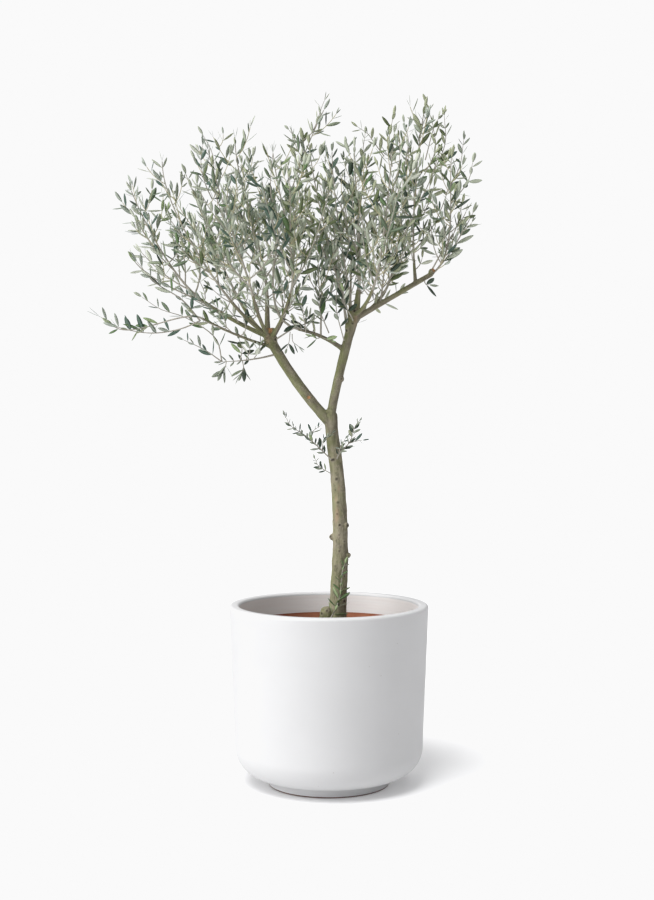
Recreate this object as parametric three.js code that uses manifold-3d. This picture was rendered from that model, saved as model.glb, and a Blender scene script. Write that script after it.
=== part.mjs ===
// A potted olive tree: a young standard olive with a forked trunk and a wide crown, in a
// straight-sided white ceramic pot on a low foot. Millimetres, +Z up; the origin is the centre
// of the pot's flat underside, +X runs along the fork and +Y towards the back of the crown.
import * as THREE from "three";
import { mergeVertices } from "three/addons/utils/BufferGeometryUtils.js";
import Module from "manifold-3d";

const wasm = await Module();
wasm.setup();
const { Manifold, Mesh: SolidMesh } = wasm;

// ---- Driving dimensions -------------------------------------------------------------------

const GAP = 0.3; // between a piece and what carries it

const POT = {
  height: 362,
  rimRadius: 200,
  baseRadius: 189, // of the wall, where the rounded bottom corner begins
  cornerRadius: 57,
  footRadius: 122,
  footHeight: 20,
  wall: 20,
  lipRadius: 6,
  floorHeight: 42,
  sides: 36,
};
const SOIL_LEVEL = POT.height - 55;

const TRUNK = {
  // The axis from below the soil to the fork: it leans right, then back to the left.
  line: [
    [14, 0, SOIL_LEVEL - 14],
    [19, 0, 372],
    [23, 0, 470],
    [22, 0, 545],
    [16, 0, 628],
    [7, 0, 702],
    [4, 0, 744],
  ],
  footRadius: 17.5,
  topRadius: 12.5,
  flare: 11, // how far the root flare stands out at the soil
  flareHeight: 16,
  sides: 12,
  rings: 15,
};

// Healed pruning stubs: how far up the limb, the direction round it in degrees, and the radius.
const TRUNK_KNOTS = [
  { at: 0.38, facing: -12, radius: 4.2 },
  { at: 0.465, facing: 184, radius: 4 },
  { at: 0.513, facing: -18, radius: 3.8 },
  { at: 0.56, facing: -102, radius: 3 },
  { at: 0.716, facing: -86, radius: 3.6 },
];
const BURL = { x: -4, y: -7, height: 36, radius: 14 }; // the swelling left of the trunk's foot

// Limbs, each one tapering piece. `at` is how far along its parent it leaves, and `sag` how far
// it hangs below the straight line to its tip, as a share of its length.
const LIMBS = [
  {
    name: "left_bough", parent: "trunk", at: 0.955,
    tip: [-119, 0, 906], sag: 0.035, radii: [10.2, 7.6],
  },
  { name: "right_bough", parent: "trunk", at: 1, tip: [55, 0, 953], sag: -0.012, radii: [9.2, 9.4] },
  {
    name: "left_under_bough", parent: "left_bough", at: 0.86,
    tip: [-246, -58, 931], sag: 0.03, radii: [3.2, 2.3],
  },
  {
    name: "left_outer_bough", parent: "left_bough", at: 0.97,
    tip: [-256, 20, 973], sag: 0.03, radii: [4.8, 3.4],
  },
  {
    name: "left_upper_bough", parent: "left_bough", at: 0.985,
    tip: [-192, -66, 966], sag: 0.04, radii: [4.2, 3.2],
  },
  {
    name: "left_back_bough", parent: "left_bough", at: 0.96,
    tip: [-186, 106, 980], sag: 0.05, radii: [4.4, 3.2],
  },
  {
    name: "left_front_bough", parent: "left_bough", at: 0.975,
    tip: [-146, -116, 972], sag: 0.06, radii: [4.2, 3.2],
  },
  {
    name: "left_leader_bough", parent: "left_bough", at: 1,
    tip: [-124, 16, 980], sag: 0, radii: [5.4, 4.2],
  },
  {
    name: "middle_front_bough", parent: "left_bough", at: 0.95,
    tip: [-74, -98, 978], sag: 0.06, radii: [4, 3],
  },
  {
    name: "middle_back_bough", parent: "left_bough", at: 0.94,
    tip: [-80, 118, 984], sag: 0.06, radii: [4.2, 3.2],
  },
  {
    name: "crossing_bough", parent: "right_bough", at: 0.6,
    tip: [-60, -20, 912], sag: -0.06, radii: [4.6, 3],
  },
  {
    name: "rising_bough", parent: "right_bough", at: 0.66,
    tip: [44, 92, 972], sag: 0.1, radii: [4.4, 3.2],
  },
  {
    name: "right_leader_bough", parent: "right_bough", at: 1,
    tip: [59, -18, 990], sag: 0, radii: [6.4, 4.6],
  },
  {
    name: "right_front_bough", parent: "right_bough", at: 0.95,
    tip: [84, -112, 984], sag: 0.07, radii: [4.6, 3.2],
  },
  {
    name: "right_back_bough", parent: "right_bough", at: 0.93,
    tip: [116, 112, 996], sag: 0.07, radii: [4.8, 3.4],
  },
  {
    name: "right_limb", parent: "right_bough", at: 0.9,
    tip: [203, 0, 1025], sag: 0, radii: [6.6, 5],
  },
  {
    name: "right_upper_bough", parent: "right_limb", at: 0.8,
    tip: [171, 26, 1054], sag: 0.02, radii: [3.6, 2.8],
  },
];
const LIMB_SIDES = 7;
const LIMB_STEP = 38; // the length of a limb's rings

// Masses of foliage. Each grows from one stem that leaves a limb: `tip` is where the stem ends,
// `lean` the sideways lean of its last shoot, `spread` how far its shoots fan out, `bare` the
// share of the stem that has none, and `shoots` how many it has when it is fully grown.
const MASSES = [
  {
    name: "foliage_left_low", from: "left_under_bough", at: 1,
    tip: [-416, -60, 912], lean: [-1.2, 0], spread: 40, bare: 0.2, shoots: 12,
  },
  {
    name: "foliage_left_side", from: "left_outer_bough", at: 0.82,
    tip: [-384, -34, 1046], lean: [-0.5, 0], spread: 66, bare: 0.22, shoots: 24,
  },
  {
    name: "foliage_left_outer", from: "left_outer_bough", at: 1,
    tip: [-394, 30, 1184], lean: [-0.4, 0], spread: 86, bare: 0.04, shoots: 30,
  },
  {
    name: "foliage_left_upper", from: "left_upper_bough", at: 1,
    tip: [-322, -88, 1224], lean: [0, 0], spread: 92, bare: 0.03, shoots: 30,
  },
  {
    name: "foliage_left_back", from: "left_back_bough", at: 1,
    tip: [-276, 160, 1216], lean: [0, 0.2], spread: 96, bare: 0.03, shoots: 30,
  },
  {
    name: "foliage_left_front", from: "left_front_bough", at: 1,
    tip: [-226, -158, 1236], lean: [-0.2, -0.2], spread: 96, bare: 0.03, shoots: 30,
  },
  {
    name: "foliage_left_top", from: "left_leader_bough", at: 1,
    tip: [-188, 24, 1286], lean: [0, 0], spread: 88, bare: 0.04, shoots: 30,
  },
  {
    name: "foliage_middle_front", from: "middle_front_bough", at: 1,
    tip: [-104, -176, 1226], lean: [-0.1, -0.2], spread: 96, bare: 0.03, shoots: 30,
  },
  {
    name: "foliage_middle_back", from: "middle_back_bough", at: 1,
    tip: [-86, 182, 1256], lean: [0, 0.3], spread: 100, bare: 0.03, shoots: 30,
  },
  {
    name: "foliage_middle_top", from: "crossing_bough", at: 1,
    tip: [-14, 0, 1340], lean: [0.5, 0], spread: 84, bare: 0.04, shoots: 30,
  },
  {
    name: "foliage_inner_right", from: "rising_bough", at: 1,
    tip: [54, 156, 1262], lean: [0.1, 0.2], spread: 96, bare: 0.04, shoots: 30,
  },
  {
    name: "foliage_right_top", from: "right_leader_bough", at: 1,
    tip: [50, -46, 1258], lean: [0, 0], spread: 86, bare: 0.05, shoots: 30,
  },
  {
    name: "foliage_right_front", from: "right_front_bough", at: 1,
    tip: [122, -156, 1266], lean: [0.1, -0.2], spread: 94, bare: 0.03, shoots: 30,
  },
  {
    name: "foliage_right_back", from: "right_back_bough", at: 1,
    tip: [166, 146, 1282], lean: [0.1, 0.2], spread: 94, bare: 0.03, shoots: 30,
  },
  {
    name: "foliage_right_upper", from: "right_upper_bough", at: 1,
    tip: [190, 20, 1346], lean: [0.2, 0], spread: 74, bare: 0.04, shoots: 30,
  },
  {
    name: "foliage_right_outer", from: "right_limb", at: 1,
    tip: [244, -36, 1246], lean: [0.1, 0], spread: 56, bare: 0.06, shoots: 24,
  },
  {
    name: "sprout_between", from: "left_bough", at: 0.87,
    tip: [-44, -34, 902], lean: [0.6, -0.2], spread: 36, bare: 0.3, shoots: 12,
  },
  {
    name: "sprout_under_left", from: "left_bough", at: 0.72,
    tip: [-190, -8, 842], lean: [-0.9, 0], spread: 44, bare: 0.4, shoots: 12,
  },
  {
    name: "sprout_limb_end", from: "right_limb", at: 0.93,
    tip: [218, -22, 1000], lean: [0.4, 0], spread: 24, bare: 0.3, shoots: 6,
  },
  {
    name: "sprout_trunk_left", from: "trunk", at: 0.76,
    tip: [-66, -24, 716], lean: [-0.5, 0], spread: 32, bare: 0.2, shoots: 12,
  },
  {
    name: "sprout_trunk_right", from: "trunk", at: 0.78,
    tip: [58, -32, 702], lean: [0.3, 0], spread: 28, bare: 0.2, shoots: 12,
  },
  {
    name: "sprout_foot", from: "trunk", at: 0.1,
    tip: [34, -42, 418], lean: [0.1, 0], spread: 18, bare: 0.3, shoots: 6,
  },
];

// Here each mass bears one shoot in six, with few large leaves: a thinned crown, one solid a mass.
const THINNING = 6;
const STEM_SIDES = 4;
const STEM_RADIUS = 3.4; // the thickest stem at its foot
const SPROUT_RADIUS = 2.6;
const SHOOT_SIDES = 3;
const SHOOT_LEAVES_FROM = 0.22;
const FUSED_TOLERANCE = 0.05; // slivers smaller than this go when a mass is fused
const STEM_RINGS = 5;
const SHOOT_RINGS = 2;
const TIP_RADIUS = 1.5;
const STEM_LEAVES_FROM = 0.55; // the lower stem bears shoots only
const PAIR_SPACING = 42; // between pairs of leaves along a shoot
// The leaf's root lies on its twig's axis, and `widest` is a share of the length from there.
const LEAF = { length: 62, width: 17, thickness: 2.4, widest: 0.46, angle: 38 };
const SPACE_MARGIN = 1.2; // what a mass keeps to the space of the next
const LIMB_MARGIN = 1.5; // what its leaves keep to a limb
const FOOT_CROWDING = 1.25; // above 1, shoots stand closer near the foot of the stem
const FIRST_SEED = 11;
const GOLDEN_ANGLE = Math.PI * (3 - Math.sqrt(5));

const COLOURS = {
  pot: { color: 0xe9e9ea, roughness: 0.62, metalness: 0 },
  soil: { color: 0x3b2a20, roughness: 1, metalness: 0 },
  bark: { color: 0x7d7763, roughness: 0.9, metalness: 0 },
  foliage: { color: 0x74866f, roughness: 0.6, metalness: 0 },
};

// ---- Helpers ------------------------------------------------------------------------------

const vector = (xyz) => new THREE.Vector3(...xyz);
const mix = THREE.MathUtils.lerp;
const UP = new THREE.Vector3(0, 0, 1);

// A small repeatable random source: the same seed always gives the same numbers, 0 to 1.
function seeded(seed) {
  let state = seed >>> 0;
  return () => {
    state = (state + 0x6d2b79f5) >>> 0;
    let t = Math.imul(state ^ (state >>> 15), 1 | state);
    t = (t + Math.imul(t ^ (t >>> 7), 61 | t)) ^ t;
    return ((t ^ (t >>> 14)) >>> 0) / 4294967296;
  };
}

function toSolid(geometry) {
  const plain = geometry.index ? geometry.toNonIndexed() : geometry;
  const bare = new THREE.BufferGeometry();
  bare.setAttribute("position", plain.getAttribute("position"));
  const merged = mergeVertices(bare, 1e-4);
  return new Manifold(
    new SolidMesh({
      numProp: 3,
      vertProperties: merged.attributes.position.array,
      triVerts: new Uint32Array(merged.index.array),
    }),
  );
}

function toGeometry(solid) {
  const { numProp, numVert, vertProperties, triVerts } = solid.getMesh();
  const positions = new Float32Array(numVert * 3);
  for (let i = 0; i < numVert; i++) {
    positions.set(vertProperties.subarray(i * numProp, i * numProp + 3), i * 3);
  }
  const geometry = new THREE.BufferGeometry();
  geometry.setAttribute("position", new THREE.BufferAttribute(positions, 3));
  geometry.setIndex(new THREE.BufferAttribute(triVerts, 1));
  geometry.computeVertexNormals();
  return geometry;
}

const joined = (solids) => Manifold.union(solids);

// The largest closed body of a solid, so that a cut leaves no loose scrap.
function mainBody(solid) {
  return solid.decompose().reduce((a, b) => (b.volume() > a.volume() ? b : a));
}

// A closed tube round a curve, with radius radiusAt(along, around): a cylinder whose rings are
// carried along the curve.
function tube(curve, radiusAt, sides, rings) {
  const geometry = new THREE.CylinderGeometry(1, 1, 1, sides, rings);
  const { normals, binormals } = curve.computeFrenetFrames(rings);
  const position = geometry.attributes.position;
  for (let i = 0; i < position.count; i++) {
    const along = position.getY(i) + 0.5;
    const ring = Math.round(along * rings);
    const around = Math.atan2(position.getX(i), position.getZ(i));
    const reach = Math.hypot(position.getX(i), position.getZ(i)) * radiusAt(along, around);
    const point = curve
      .getPointAt(along)
      .addScaledVector(normals[ring], Math.cos(around) * reach)
      .addScaledVector(binormals[ring], Math.sin(around) * reach);
    position.setXYZ(i, point.x, point.y, point.z);
  }
  return geometry;
}

// The point of a tube's axis at a share of its length: its rings are joined by straight lines.
function onAxis(curve, rings, along) {
  const ring = Math.min(Math.floor(along * rings), rings - 1);
  const [from, to] = [ring, ring + 1].map((step) => curve.getPointAt(step / rings));
  return from.lerp(to, along * rings - ring);
}

// ---- Pot and soil -------------------------------------------------------------------------

// Points of a quarter circle in the lathe's plane, from one angle to another in degrees.
function quarter(centre, radius, from, to, steps) {
  return Array.from({ length: steps + 1 }, (_, i) => {
    const angle = THREE.MathUtils.degToRad(mix(from, to, i / steps));
    return new THREE.Vector2(
      centre[0] + radius * Math.cos(angle),
      centre[1] + radius * Math.sin(angle),
    );
  });
}

const cornerHeight = POT.footHeight + POT.cornerRadius;
const outerRadiusAt = (z) =>
  mix(POT.baseRadius, POT.rimRadius, (z - cornerHeight) / (POT.height - cornerHeight));
const innerRadiusAt = (z) => outerRadiusAt(z) - POT.wall;
const innerCorner = POT.cornerRadius - POT.wall;

// The inside of the pot from the floor's centre up to a height, drawn in by a clearance.
function insideProfile(top, clearance) {
  const wallFoot = POT.floorHeight + innerCorner;
  const corner = [innerRadiusAt(wallFoot) - innerCorner, wallFoot];
  return [
    new THREE.Vector2(0, POT.floorHeight + clearance),
    ...quarter(corner, innerCorner - clearance, -90, 0, 3),
    new THREE.Vector2(innerRadiusAt(top) - clearance, top),
  ];
}

function turned(profile) {
  return new THREE.LatheGeometry(profile, POT.sides).rotateX(Math.PI / 2);
}

function potGeometry() {
  const { footRadius, footHeight, baseRadius, cornerRadius, lipRadius, height, wall } = POT;
  const edge = 2;
  const lipFoot = height - lipRadius;
  const outside = [
    new THREE.Vector2(0, 0),
    new THREE.Vector2(footRadius - edge, 0),
    new THREE.Vector2(footRadius, edge),
    new THREE.Vector2(footRadius, footHeight),
    ...quarter([baseRadius - cornerRadius, cornerHeight], cornerRadius, -90, 0, 5),
    ...quarter([outerRadiusAt(lipFoot) - lipRadius, lipFoot], lipRadius, 0, 90, 2),
    ...quarter([outerRadiusAt(lipFoot) - wall + lipRadius, lipFoot], lipRadius, 90, 180, 2),
  ];
  const inside = insideProfile(lipFoot - 1, 0).reverse();
  return turned([...outside, ...inside]);
}

function soilGeometry() {
  const side = insideProfile(SOIL_LEVEL, GAP);
  return turned([...side, new THREE.Vector2(0, SOIL_LEVEL)]);
}

// ---- Trunk and boughs ---------------------------------------------------------------------

// A short blunt stub that stands out of a limb's side.
function knot(curve, { at, facing, radius }, limbRadius, grow) {
  const angle = THREE.MathUtils.degToRad(facing);
  const out = new THREE.Vector3(Math.cos(angle), Math.sin(angle), 0.25).normalize();
  const centre = curve.getPointAt(at).addScaledVector(out, limbRadius - radius * 0.35);
  const bump = new THREE.IcosahedronGeometry(radius + grow, 0).scale(1, 1, 1.25);
  return toSolid(bump.translate(centre.x, centre.y, centre.z));
}

const trunkCurve = new THREE.CatmullRomCurve3(TRUNK.line.map(vector));
const trunkLength = trunkCurve.getLength();

function trunkRadius(along, around) {
  const { footRadius, topRadius, flare, flareHeight } = TRUNK;
  const aboveSoil = Math.max(0, along * trunkLength - (SOIL_LEVEL - TRUNK.line[0][2]));
  const roots = 1 + 0.3 * Math.cos(3 * around + 0.6) + 0.15 * Math.cos(5 * around);
  const ripple = 0.5 * Math.sin(along * 23) * Math.cos(around);
  return mix(footRadius, topRadius, along) + flare * roots * Math.exp(-aboveSoil / flareHeight) + ripple;
}

function trunkSolid(grow) {
  const radiusAt = (along, around) => trunkRadius(along, around) + grow;
  const stem = toSolid(tube(trunkCurve, radiusAt, TRUNK.sides, TRUNK.rings));
  const knots = TRUNK_KNOTS.map((k) => knot(trunkCurve, k, trunkRadius(k.at, 0), grow));
  const burl = new THREE.IcosahedronGeometry(BURL.radius + grow, 1)
    .scale(1, 1, 1.1)
    .translate(BURL.x, BURL.y, SOIL_LEVEL + BURL.height);
  const burlFoot = new THREE.CylinderGeometry(BURL.radius * 0.8, BURL.radius * 1.1, BURL.height + 8, 8)
    .rotateX(Math.PI / 2)
    .translate(BURL.x + 4, BURL.y + 3, SOIL_LEVEL + BURL.height / 2 - 4);
  const ground = new THREE.BoxGeometry(200, 200, 40).translate(0, 0, SOIL_LEVEL + GAP - 20);
  return joined([stem, ...knots, toSolid(burl), toSolid(burlFoot)]).subtract(toSolid(ground));
}

// A curve from a start to a tip that hangs square to its chord, by a share of the chord's length.
function arc(start, end, sag) {
  const chord = end.clone().sub(start);
  const along = chord.clone().normalize();
  const down = UP.clone().negate().addScaledVector(along, along.z).normalize();
  const drop = down.multiplyScalar((4 / 3) * sag * chord.length());
  const first = start.clone().addScaledVector(chord, 1 / 3).add(drop);
  const second = start.clone().addScaledVector(chord, 2 / 3).add(drop);
  return new THREE.CubicBezierCurve3(start, first, second, end);
}

const limbs = new Map([["trunk", { curve: trunkCurve, radii: [TRUNK.footRadius, TRUNK.topRadius] }]]);

function limbSolid(limb, grow) {
  const radiusAt = (along) => mix(...limb.radii, along) + grow;
  const rings = Math.max(2, Math.round(limb.curve.getLength() / LIMB_STEP));
  return toSolid(tube(limb.curve, radiusAt, LIMB_SIDES, rings));
}

// Every limb starts on its parent's axis and is cut back to stand a gap clear of its bark. One
// that carries on from its parent's tip starts a gap beyond it instead.
for (const spec of LIMBS) {
  const parent = limbs.get(spec.parent);
  const atTip = spec.at === 1;
  const start = parent.curve.getPointAt(spec.at);
  if (atTip) start.addScaledVector(parent.curve.getTangentAt(1), GAP);
  const limb = { ...spec, curve: arc(start, vector(spec.tip), spec.sag) };
  limbs.set(spec.name, limb);
}

function grownParent(name) {
  return name === "trunk" ? trunkSolid(GAP) : limbSolid(limbs.get(name), GAP);
}

// ---- Foliage ------------------------------------------------------------------------------

// The stem of a mass: it carries on the way its limb points, and bends up to its tip.
function stemCurve(mass) {
  const { curve } = limbs.get(mass.from);
  const tip = vector(mass.tip);
  const start = curve.getPointAt(mass.at);
  const chord = tip.clone().sub(start);
  const reach = chord.length();
  const leave = mass.at === 1 ? curve.getTangentAt(1) : chord.clone().normalize();
  if (mass.at === 1) start.addScaledVector(leave, GAP);
  const arrive = new THREE.Vector3(...mass.lean, 1).normalize();
  return new THREE.CubicBezierCurve3(
    start,
    start.clone().addScaledVector(leave, reach * 0.28),
    tip.clone().addScaledVector(arrive, -reach * 0.28),
    tip,
  );
}

// One shoot of a mass: it leaves the stem sideways and turns up. `place` runs from 0 at the foot
// of the leafy stem to 1 near its tip, where the shoots are shorter.
function shootCurve(mass, place, turn, scale, random) {
  const at = mix(mass.bare, 0.92, place ** FOOT_CROWDING);
  const start = onAxis(mass.stem, STEM_RINGS, at);
  const axis = mass.stem.getTangentAt(at).add(UP).normalize();
  const side = new THREE.Vector3(Math.cos(turn), Math.sin(turn), 0);
  const out = scale * mass.spread * mix(1, 0.42, place) * mix(0.85, 1.1, random());
  const rise = out * mix(0.9, 1.5, random());
  const tip = start.clone().addScaledVector(side, out).addScaledVector(axis, rise);
  const elbow = start.clone().addScaledVector(side, out * 0.62).addScaledVector(axis, rise * 0.3);
  return { at, curve: new THREE.QuadraticBezierCurve3(start, elbow, tip) };
}

// A shoot that would leave its mass's space turns aside, and then grows shorter, until it fits.
function fittedShoot(mass, index) {
  for (const scale of [1, 0.75, 0.5]) {
    for (const aside of [0, 1, -1, 2, -2, 3]) {
      const turn = index * GOLDEN_ANGLE + mass.seed + (aside * Math.PI) / 3;
      const shoot = shootCurve(mass, (index + 0.5) / mass.shoots, turn, scale, seeded(mass.seed * 1000 + index));
      if (fits(mass, shoot.curve.getSpacedPoints(6).slice(1))) return shoot;
    }
  }
  return null;
}

// Sample points that mark out a mass's own space: what lies nearest to its stem is its own.
const SPACE_SAMPLES = 9;
MASSES.forEach((mass, index) => {
  mass.seed = FIRST_SEED + index;
  mass.stem = stemCurve(mass);
  mass.marks = mass.stem.getSpacedPoints(SPACE_SAMPLES);
});

const limbMarks = [...limbs.values()].flatMap(({ curve, radii }) => {
  const steps = Math.ceil(curve.getLength() / 8);
  return Array.from({ length: steps + 1 }, (_, i) => ({
    point: curve.getPointAt(i / steps),
    radius: mix(...radii, i / steps),
  }));
});
const ownDistance = (mass, point) => Math.min(...mass.marks.map((mark) => mark.distanceTo(point)));

function inOwnSpace(mass, point) {
  const own = ownDistance(mass, point) + 2 * SPACE_MARGIN;
  return MASSES.every((other) => other === mass || ownDistance(other, point) > own);
}

const clearOfLimbs = (point) =>
  limbMarks.every((mark) => mark.point.distanceTo(point) > mark.radius + LIMB_MARGIN);

const fits = (mass, points) => points.every((p) => inOwnSpace(mass, p) && clearOfLimbs(p));

// A leaf of eight faces, long and flat and widest below its middle.
function leafGeometry(root, direction, normal, size) {
  const side = new THREE.Vector3().crossVectors(normal, direction).normalize();
  const face = new THREE.Vector3().crossVectors(direction, side).normalize();
  const length = LEAF.length * size;
  const geometry = new THREE.OctahedronGeometry(1, 0);
  const position = geometry.attributes.position;
  for (let i = 0; i < position.count; i++) {
    if (Math.abs(position.getX(i)) < 0.5) position.setX(i, 2 * LEAF.widest - 1);
  }
  return geometry
    .translate(1, 0, 0)
    .scale(length / 2, (LEAF.width * size) / 2, LEAF.thickness / 2)
    .applyMatrix4(new THREE.Matrix4().makeBasis(direction, side, face))
    .translate(root.x, root.y, root.z);
}

// Where a leaf's space is tested: its corners, and points half way from its root to each.
function testPoints(geometry) {
  const position = geometry.attributes.position;
  const corners = Array.from({ length: position.count }, (_, i) =>
    new THREE.Vector3().fromBufferAttribute(position, i),
  );
  const middle = corners.reduce((sum, c) => sum.add(c), new THREE.Vector3()).divideScalar(corners.length);
  return [...corners, ...corners.map((corner) => corner.clone().lerp(middle, 0.5))];
}

// Pairs of leaves along a shoot, each pair at right angles to the one before, and one at its tip.
function leavesOn(mass, { curve, rings, from }, random) {
  const leaves = [];
  const length = curve.getLength();
  const pairs = Math.max(1, Math.round((length * (1 - from)) / PAIR_SPACING));
  const { normals } = curve.computeFrenetFrames(1);
  const roll = random() * Math.PI;
  for (let pair = 0; pair < pairs; pair++) {
    const along = mix(from, 1, (pair + 0.4) / pairs);
    const tangent = curve.getTangentAt(along);
    const across = normals[0].clone().applyAxisAngle(tangent, roll + pair * (Math.PI / 2));
    across.addScaledVector(tangent, -across.dot(tangent)).normalize();
    const angle = THREE.MathUtils.degToRad(LEAF.angle + 14 * (random() - 0.5));
    const size = mix(1.05, 0.8, along) * mix(0.9, 1.1, random());
    for (const hand of [1, -1]) {
      const direction = tangent.clone().multiplyScalar(Math.cos(angle));
      direction.addScaledVector(across, hand * Math.sin(angle)).normalize();
      leaves.push(leafGeometry(onAxis(curve, rings, along), direction, tangent, size));
    }
  }
  const last = curve.getTangentAt(1);
  const base = curve.getPointAt(1).addScaledVector(last, -TIP_RADIUS);
  leaves.push(leafGeometry(base, last, normals[1], 0.75));
  return leaves.filter((leaf) => fits(mass, testPoints(leaf)));
}

function massSolid(mass) {
  const limb = limbs.get(mass.from);
  const footRadius = mass.at === 1 ? Math.min(limb.radii[1], STEM_RADIUS) : SPROUT_RADIUS;
  const stemRadius = (along) => mix(footRadius, TIP_RADIUS, along);
  const stem = { curve: mass.stem, rings: STEM_RINGS, from: STEM_LEAVES_FROM };
  const solids = [toSolid(tube(stem.curve, stemRadius, STEM_SIDES, STEM_RINGS))];
  const leaves = leavesOn(mass, stem, seeded(mass.seed));
  for (let index = THINNING / 2; index < mass.shoots; index += THINNING) {
    const grown = fittedShoot(mass, index);
    if (!grown) continue;
    const radiusAt = (along) => mix(stemRadius(grown.at) * 0.62, TIP_RADIUS, along);
    const shoot = { curve: grown.curve, rings: SHOOT_RINGS, from: SHOOT_LEAVES_FROM };
    solids.push(toSolid(tube(shoot.curve, radiusAt, SHOOT_SIDES, SHOOT_RINGS)));
    leaves.push(...leavesOn(mass, shoot, seeded(mass.seed * 1000 + 500 + index)));
  }
  const whole = joined([...solids, ...leaves.map(toSolid)]);
  const cut = mass.at === 1 ? whole : whole.subtract(grownParent(mass.from));
  return mainBody(cut.simplify(FUSED_TOLERANCE));
}

// ---- The assembly -------------------------------------------------------------------------

const materials = Object.fromEntries(
  Object.entries(COLOURS).map(([name, look]) => [name, new THREE.MeshStandardMaterial(look)]),
);
const tree = new THREE.Group();

function place(name, geometry, material) {
  const mesh = new THREE.Mesh(geometry, materials[material]);
  mesh.name = name;
  tree.add(mesh);
}

place("pot", potGeometry(), "pot");
place("soil", soilGeometry(), "soil");
place("trunk", toGeometry(trunkSolid(0)), "bark");
const placedLimbs = [trunkSolid(GAP)]; // each limb is cut clear of those before it
for (const { name } of LIMBS) {
  const cut = placedLimbs.reduce((solid, other) => solid.subtract(other), limbSolid(limbs.get(name), 0));
  place(name, toGeometry(mainBody(cut)), "bark");
  placedLimbs.push(limbSolid(limbs.get(name), GAP));
}
for (const mass of MASSES) {
  place(mass.name, toGeometry(massSolid(mass)), "foliage");
}

export default tree;
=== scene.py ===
# %% [markdown]
# # A potted olive tree
# A young standard olive: one stem that forks at knee height above the pot, a wide crown of thin
# ascending shoots, and a straight-sided white ceramic pot. The solids of the plant are already
# there; this lesson dresses them. Most of it follows one idea: a tree is a rule, so the crown is
# grown by the same rule as the solids, only with finer twigs and smaller leaves.

# %% Load the model
import math
from collections import namedtuple

import bpy
import numpy as np
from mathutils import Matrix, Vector, noise
from numpy.linalg import norm


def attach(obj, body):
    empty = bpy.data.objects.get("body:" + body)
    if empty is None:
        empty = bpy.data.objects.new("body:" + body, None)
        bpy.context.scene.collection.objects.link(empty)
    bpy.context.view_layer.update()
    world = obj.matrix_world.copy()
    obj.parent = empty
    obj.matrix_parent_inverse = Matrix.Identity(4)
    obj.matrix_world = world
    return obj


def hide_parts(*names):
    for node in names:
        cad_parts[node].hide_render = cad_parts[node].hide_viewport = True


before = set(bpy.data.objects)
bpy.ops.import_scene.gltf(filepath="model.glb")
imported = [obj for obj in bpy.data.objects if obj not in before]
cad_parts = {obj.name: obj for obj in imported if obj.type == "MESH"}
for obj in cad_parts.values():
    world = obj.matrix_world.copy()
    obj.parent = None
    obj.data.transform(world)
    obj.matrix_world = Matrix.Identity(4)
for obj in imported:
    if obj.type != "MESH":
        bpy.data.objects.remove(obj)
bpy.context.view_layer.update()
MM = 0.001  # the sizes below are in millimetres, as in the part's source
scene = bpy.context.scene
FULL_TURN = 2 * math.pi

# %% [markdown]
# ## Camera and light
# The pot is a good ruler: the width of its rim and foot and the flatness of the rim's ellipse fix
# how far away the camera stands, how high, and how far it looks down. The light comes from a wide
# soft source high on the left, with weaker ones low on the left and overhead. A sun lamp with a
# large angle is used for each, because it lights a floor evenly however big the floor is. The
# floor has lamps of its own, so that the pot's shadow is soft and the leaves throw none, and one
# more lamp reaches down into the pot's mouth.

# %% Camera
CAMERA_AT, LOOKS_DOWN = (-0.0037, -3.0, 0.7828), 0.037  # metres, radians
camera_data = bpy.data.cameras.new("camera")
camera_data.lens, camera_data.sensor_width, camera_data.clip_end = 59.94, 36, 200
camera = bpy.data.objects.new("camera", camera_data)
camera.location = CAMERA_AT
camera.rotation_euler = (math.pi / 2 - LOOKS_DOWN, 0, 0)
scene.collection.objects.link(camera)
scene.camera = camera
print("camera at", CAMERA_AT, "looks down by", round(math.degrees(LOOKS_DOWN), 1), "degrees")


# %% Lights
def soft_sun(name, towards, strength, angle):
    lamp = bpy.data.lights.new(name, "SUN")
    lamp.energy, lamp.angle = strength, math.radians(angle)
    holder = bpy.data.objects.new(name, lamp)
    holder.rotation_mode = "QUATERNION"
    holder.rotation_quaternion = Vector(towards).to_track_quat("-Z", "Y")
    scene.collection.objects.link(holder)
    return holder


LAMPS = {  # the way the light goes, strength, width in degrees
    "window": ((0.63, 0.335, -0.70), 2.08, 44),
    "low_window": ((0.80, 0.46, -0.15), 0.8, 34),
    "ceiling": ((0, 0, -1), 0.5, 110),
    "over_floor": ((0.28, 0.66, -1), 1.70, 26),
    "side_floor": ((0.95, 0.30, -0.62), 0.60, 44),
    "over_rim": ((0, 0, -1), 1.1, 90),
    "floor_fill": ((0, 0, -1), 0.95, 60),
}
lamps = {name: soft_sun(name, *row) for name, row in LAMPS.items()}
lamps["floor_fill"].data.use_shadow = False
WHITEST = 0.955  # paper white, past which the picture gets no brighter
scene.view_settings.view_transform = "Standard"
scene.view_settings.use_curve_mapping = True
film = scene.view_settings.curve_mapping
film.extend = "HORIZONTAL"
film.curves[3].points[1].location = (WHITEST, WHITEST)
film.update()
print("camera and", len(lamps), "lamps ready")

# %% [markdown]
# ## Small tools for node trees
# Every material and every Geometry Nodes tree below is wired in code. A few helpers keep that
# readable: one makes a node group with named inputs and outputs, another adds a node, sets its
# options, and either fills a socket with a value or links it to another socket.


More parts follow.
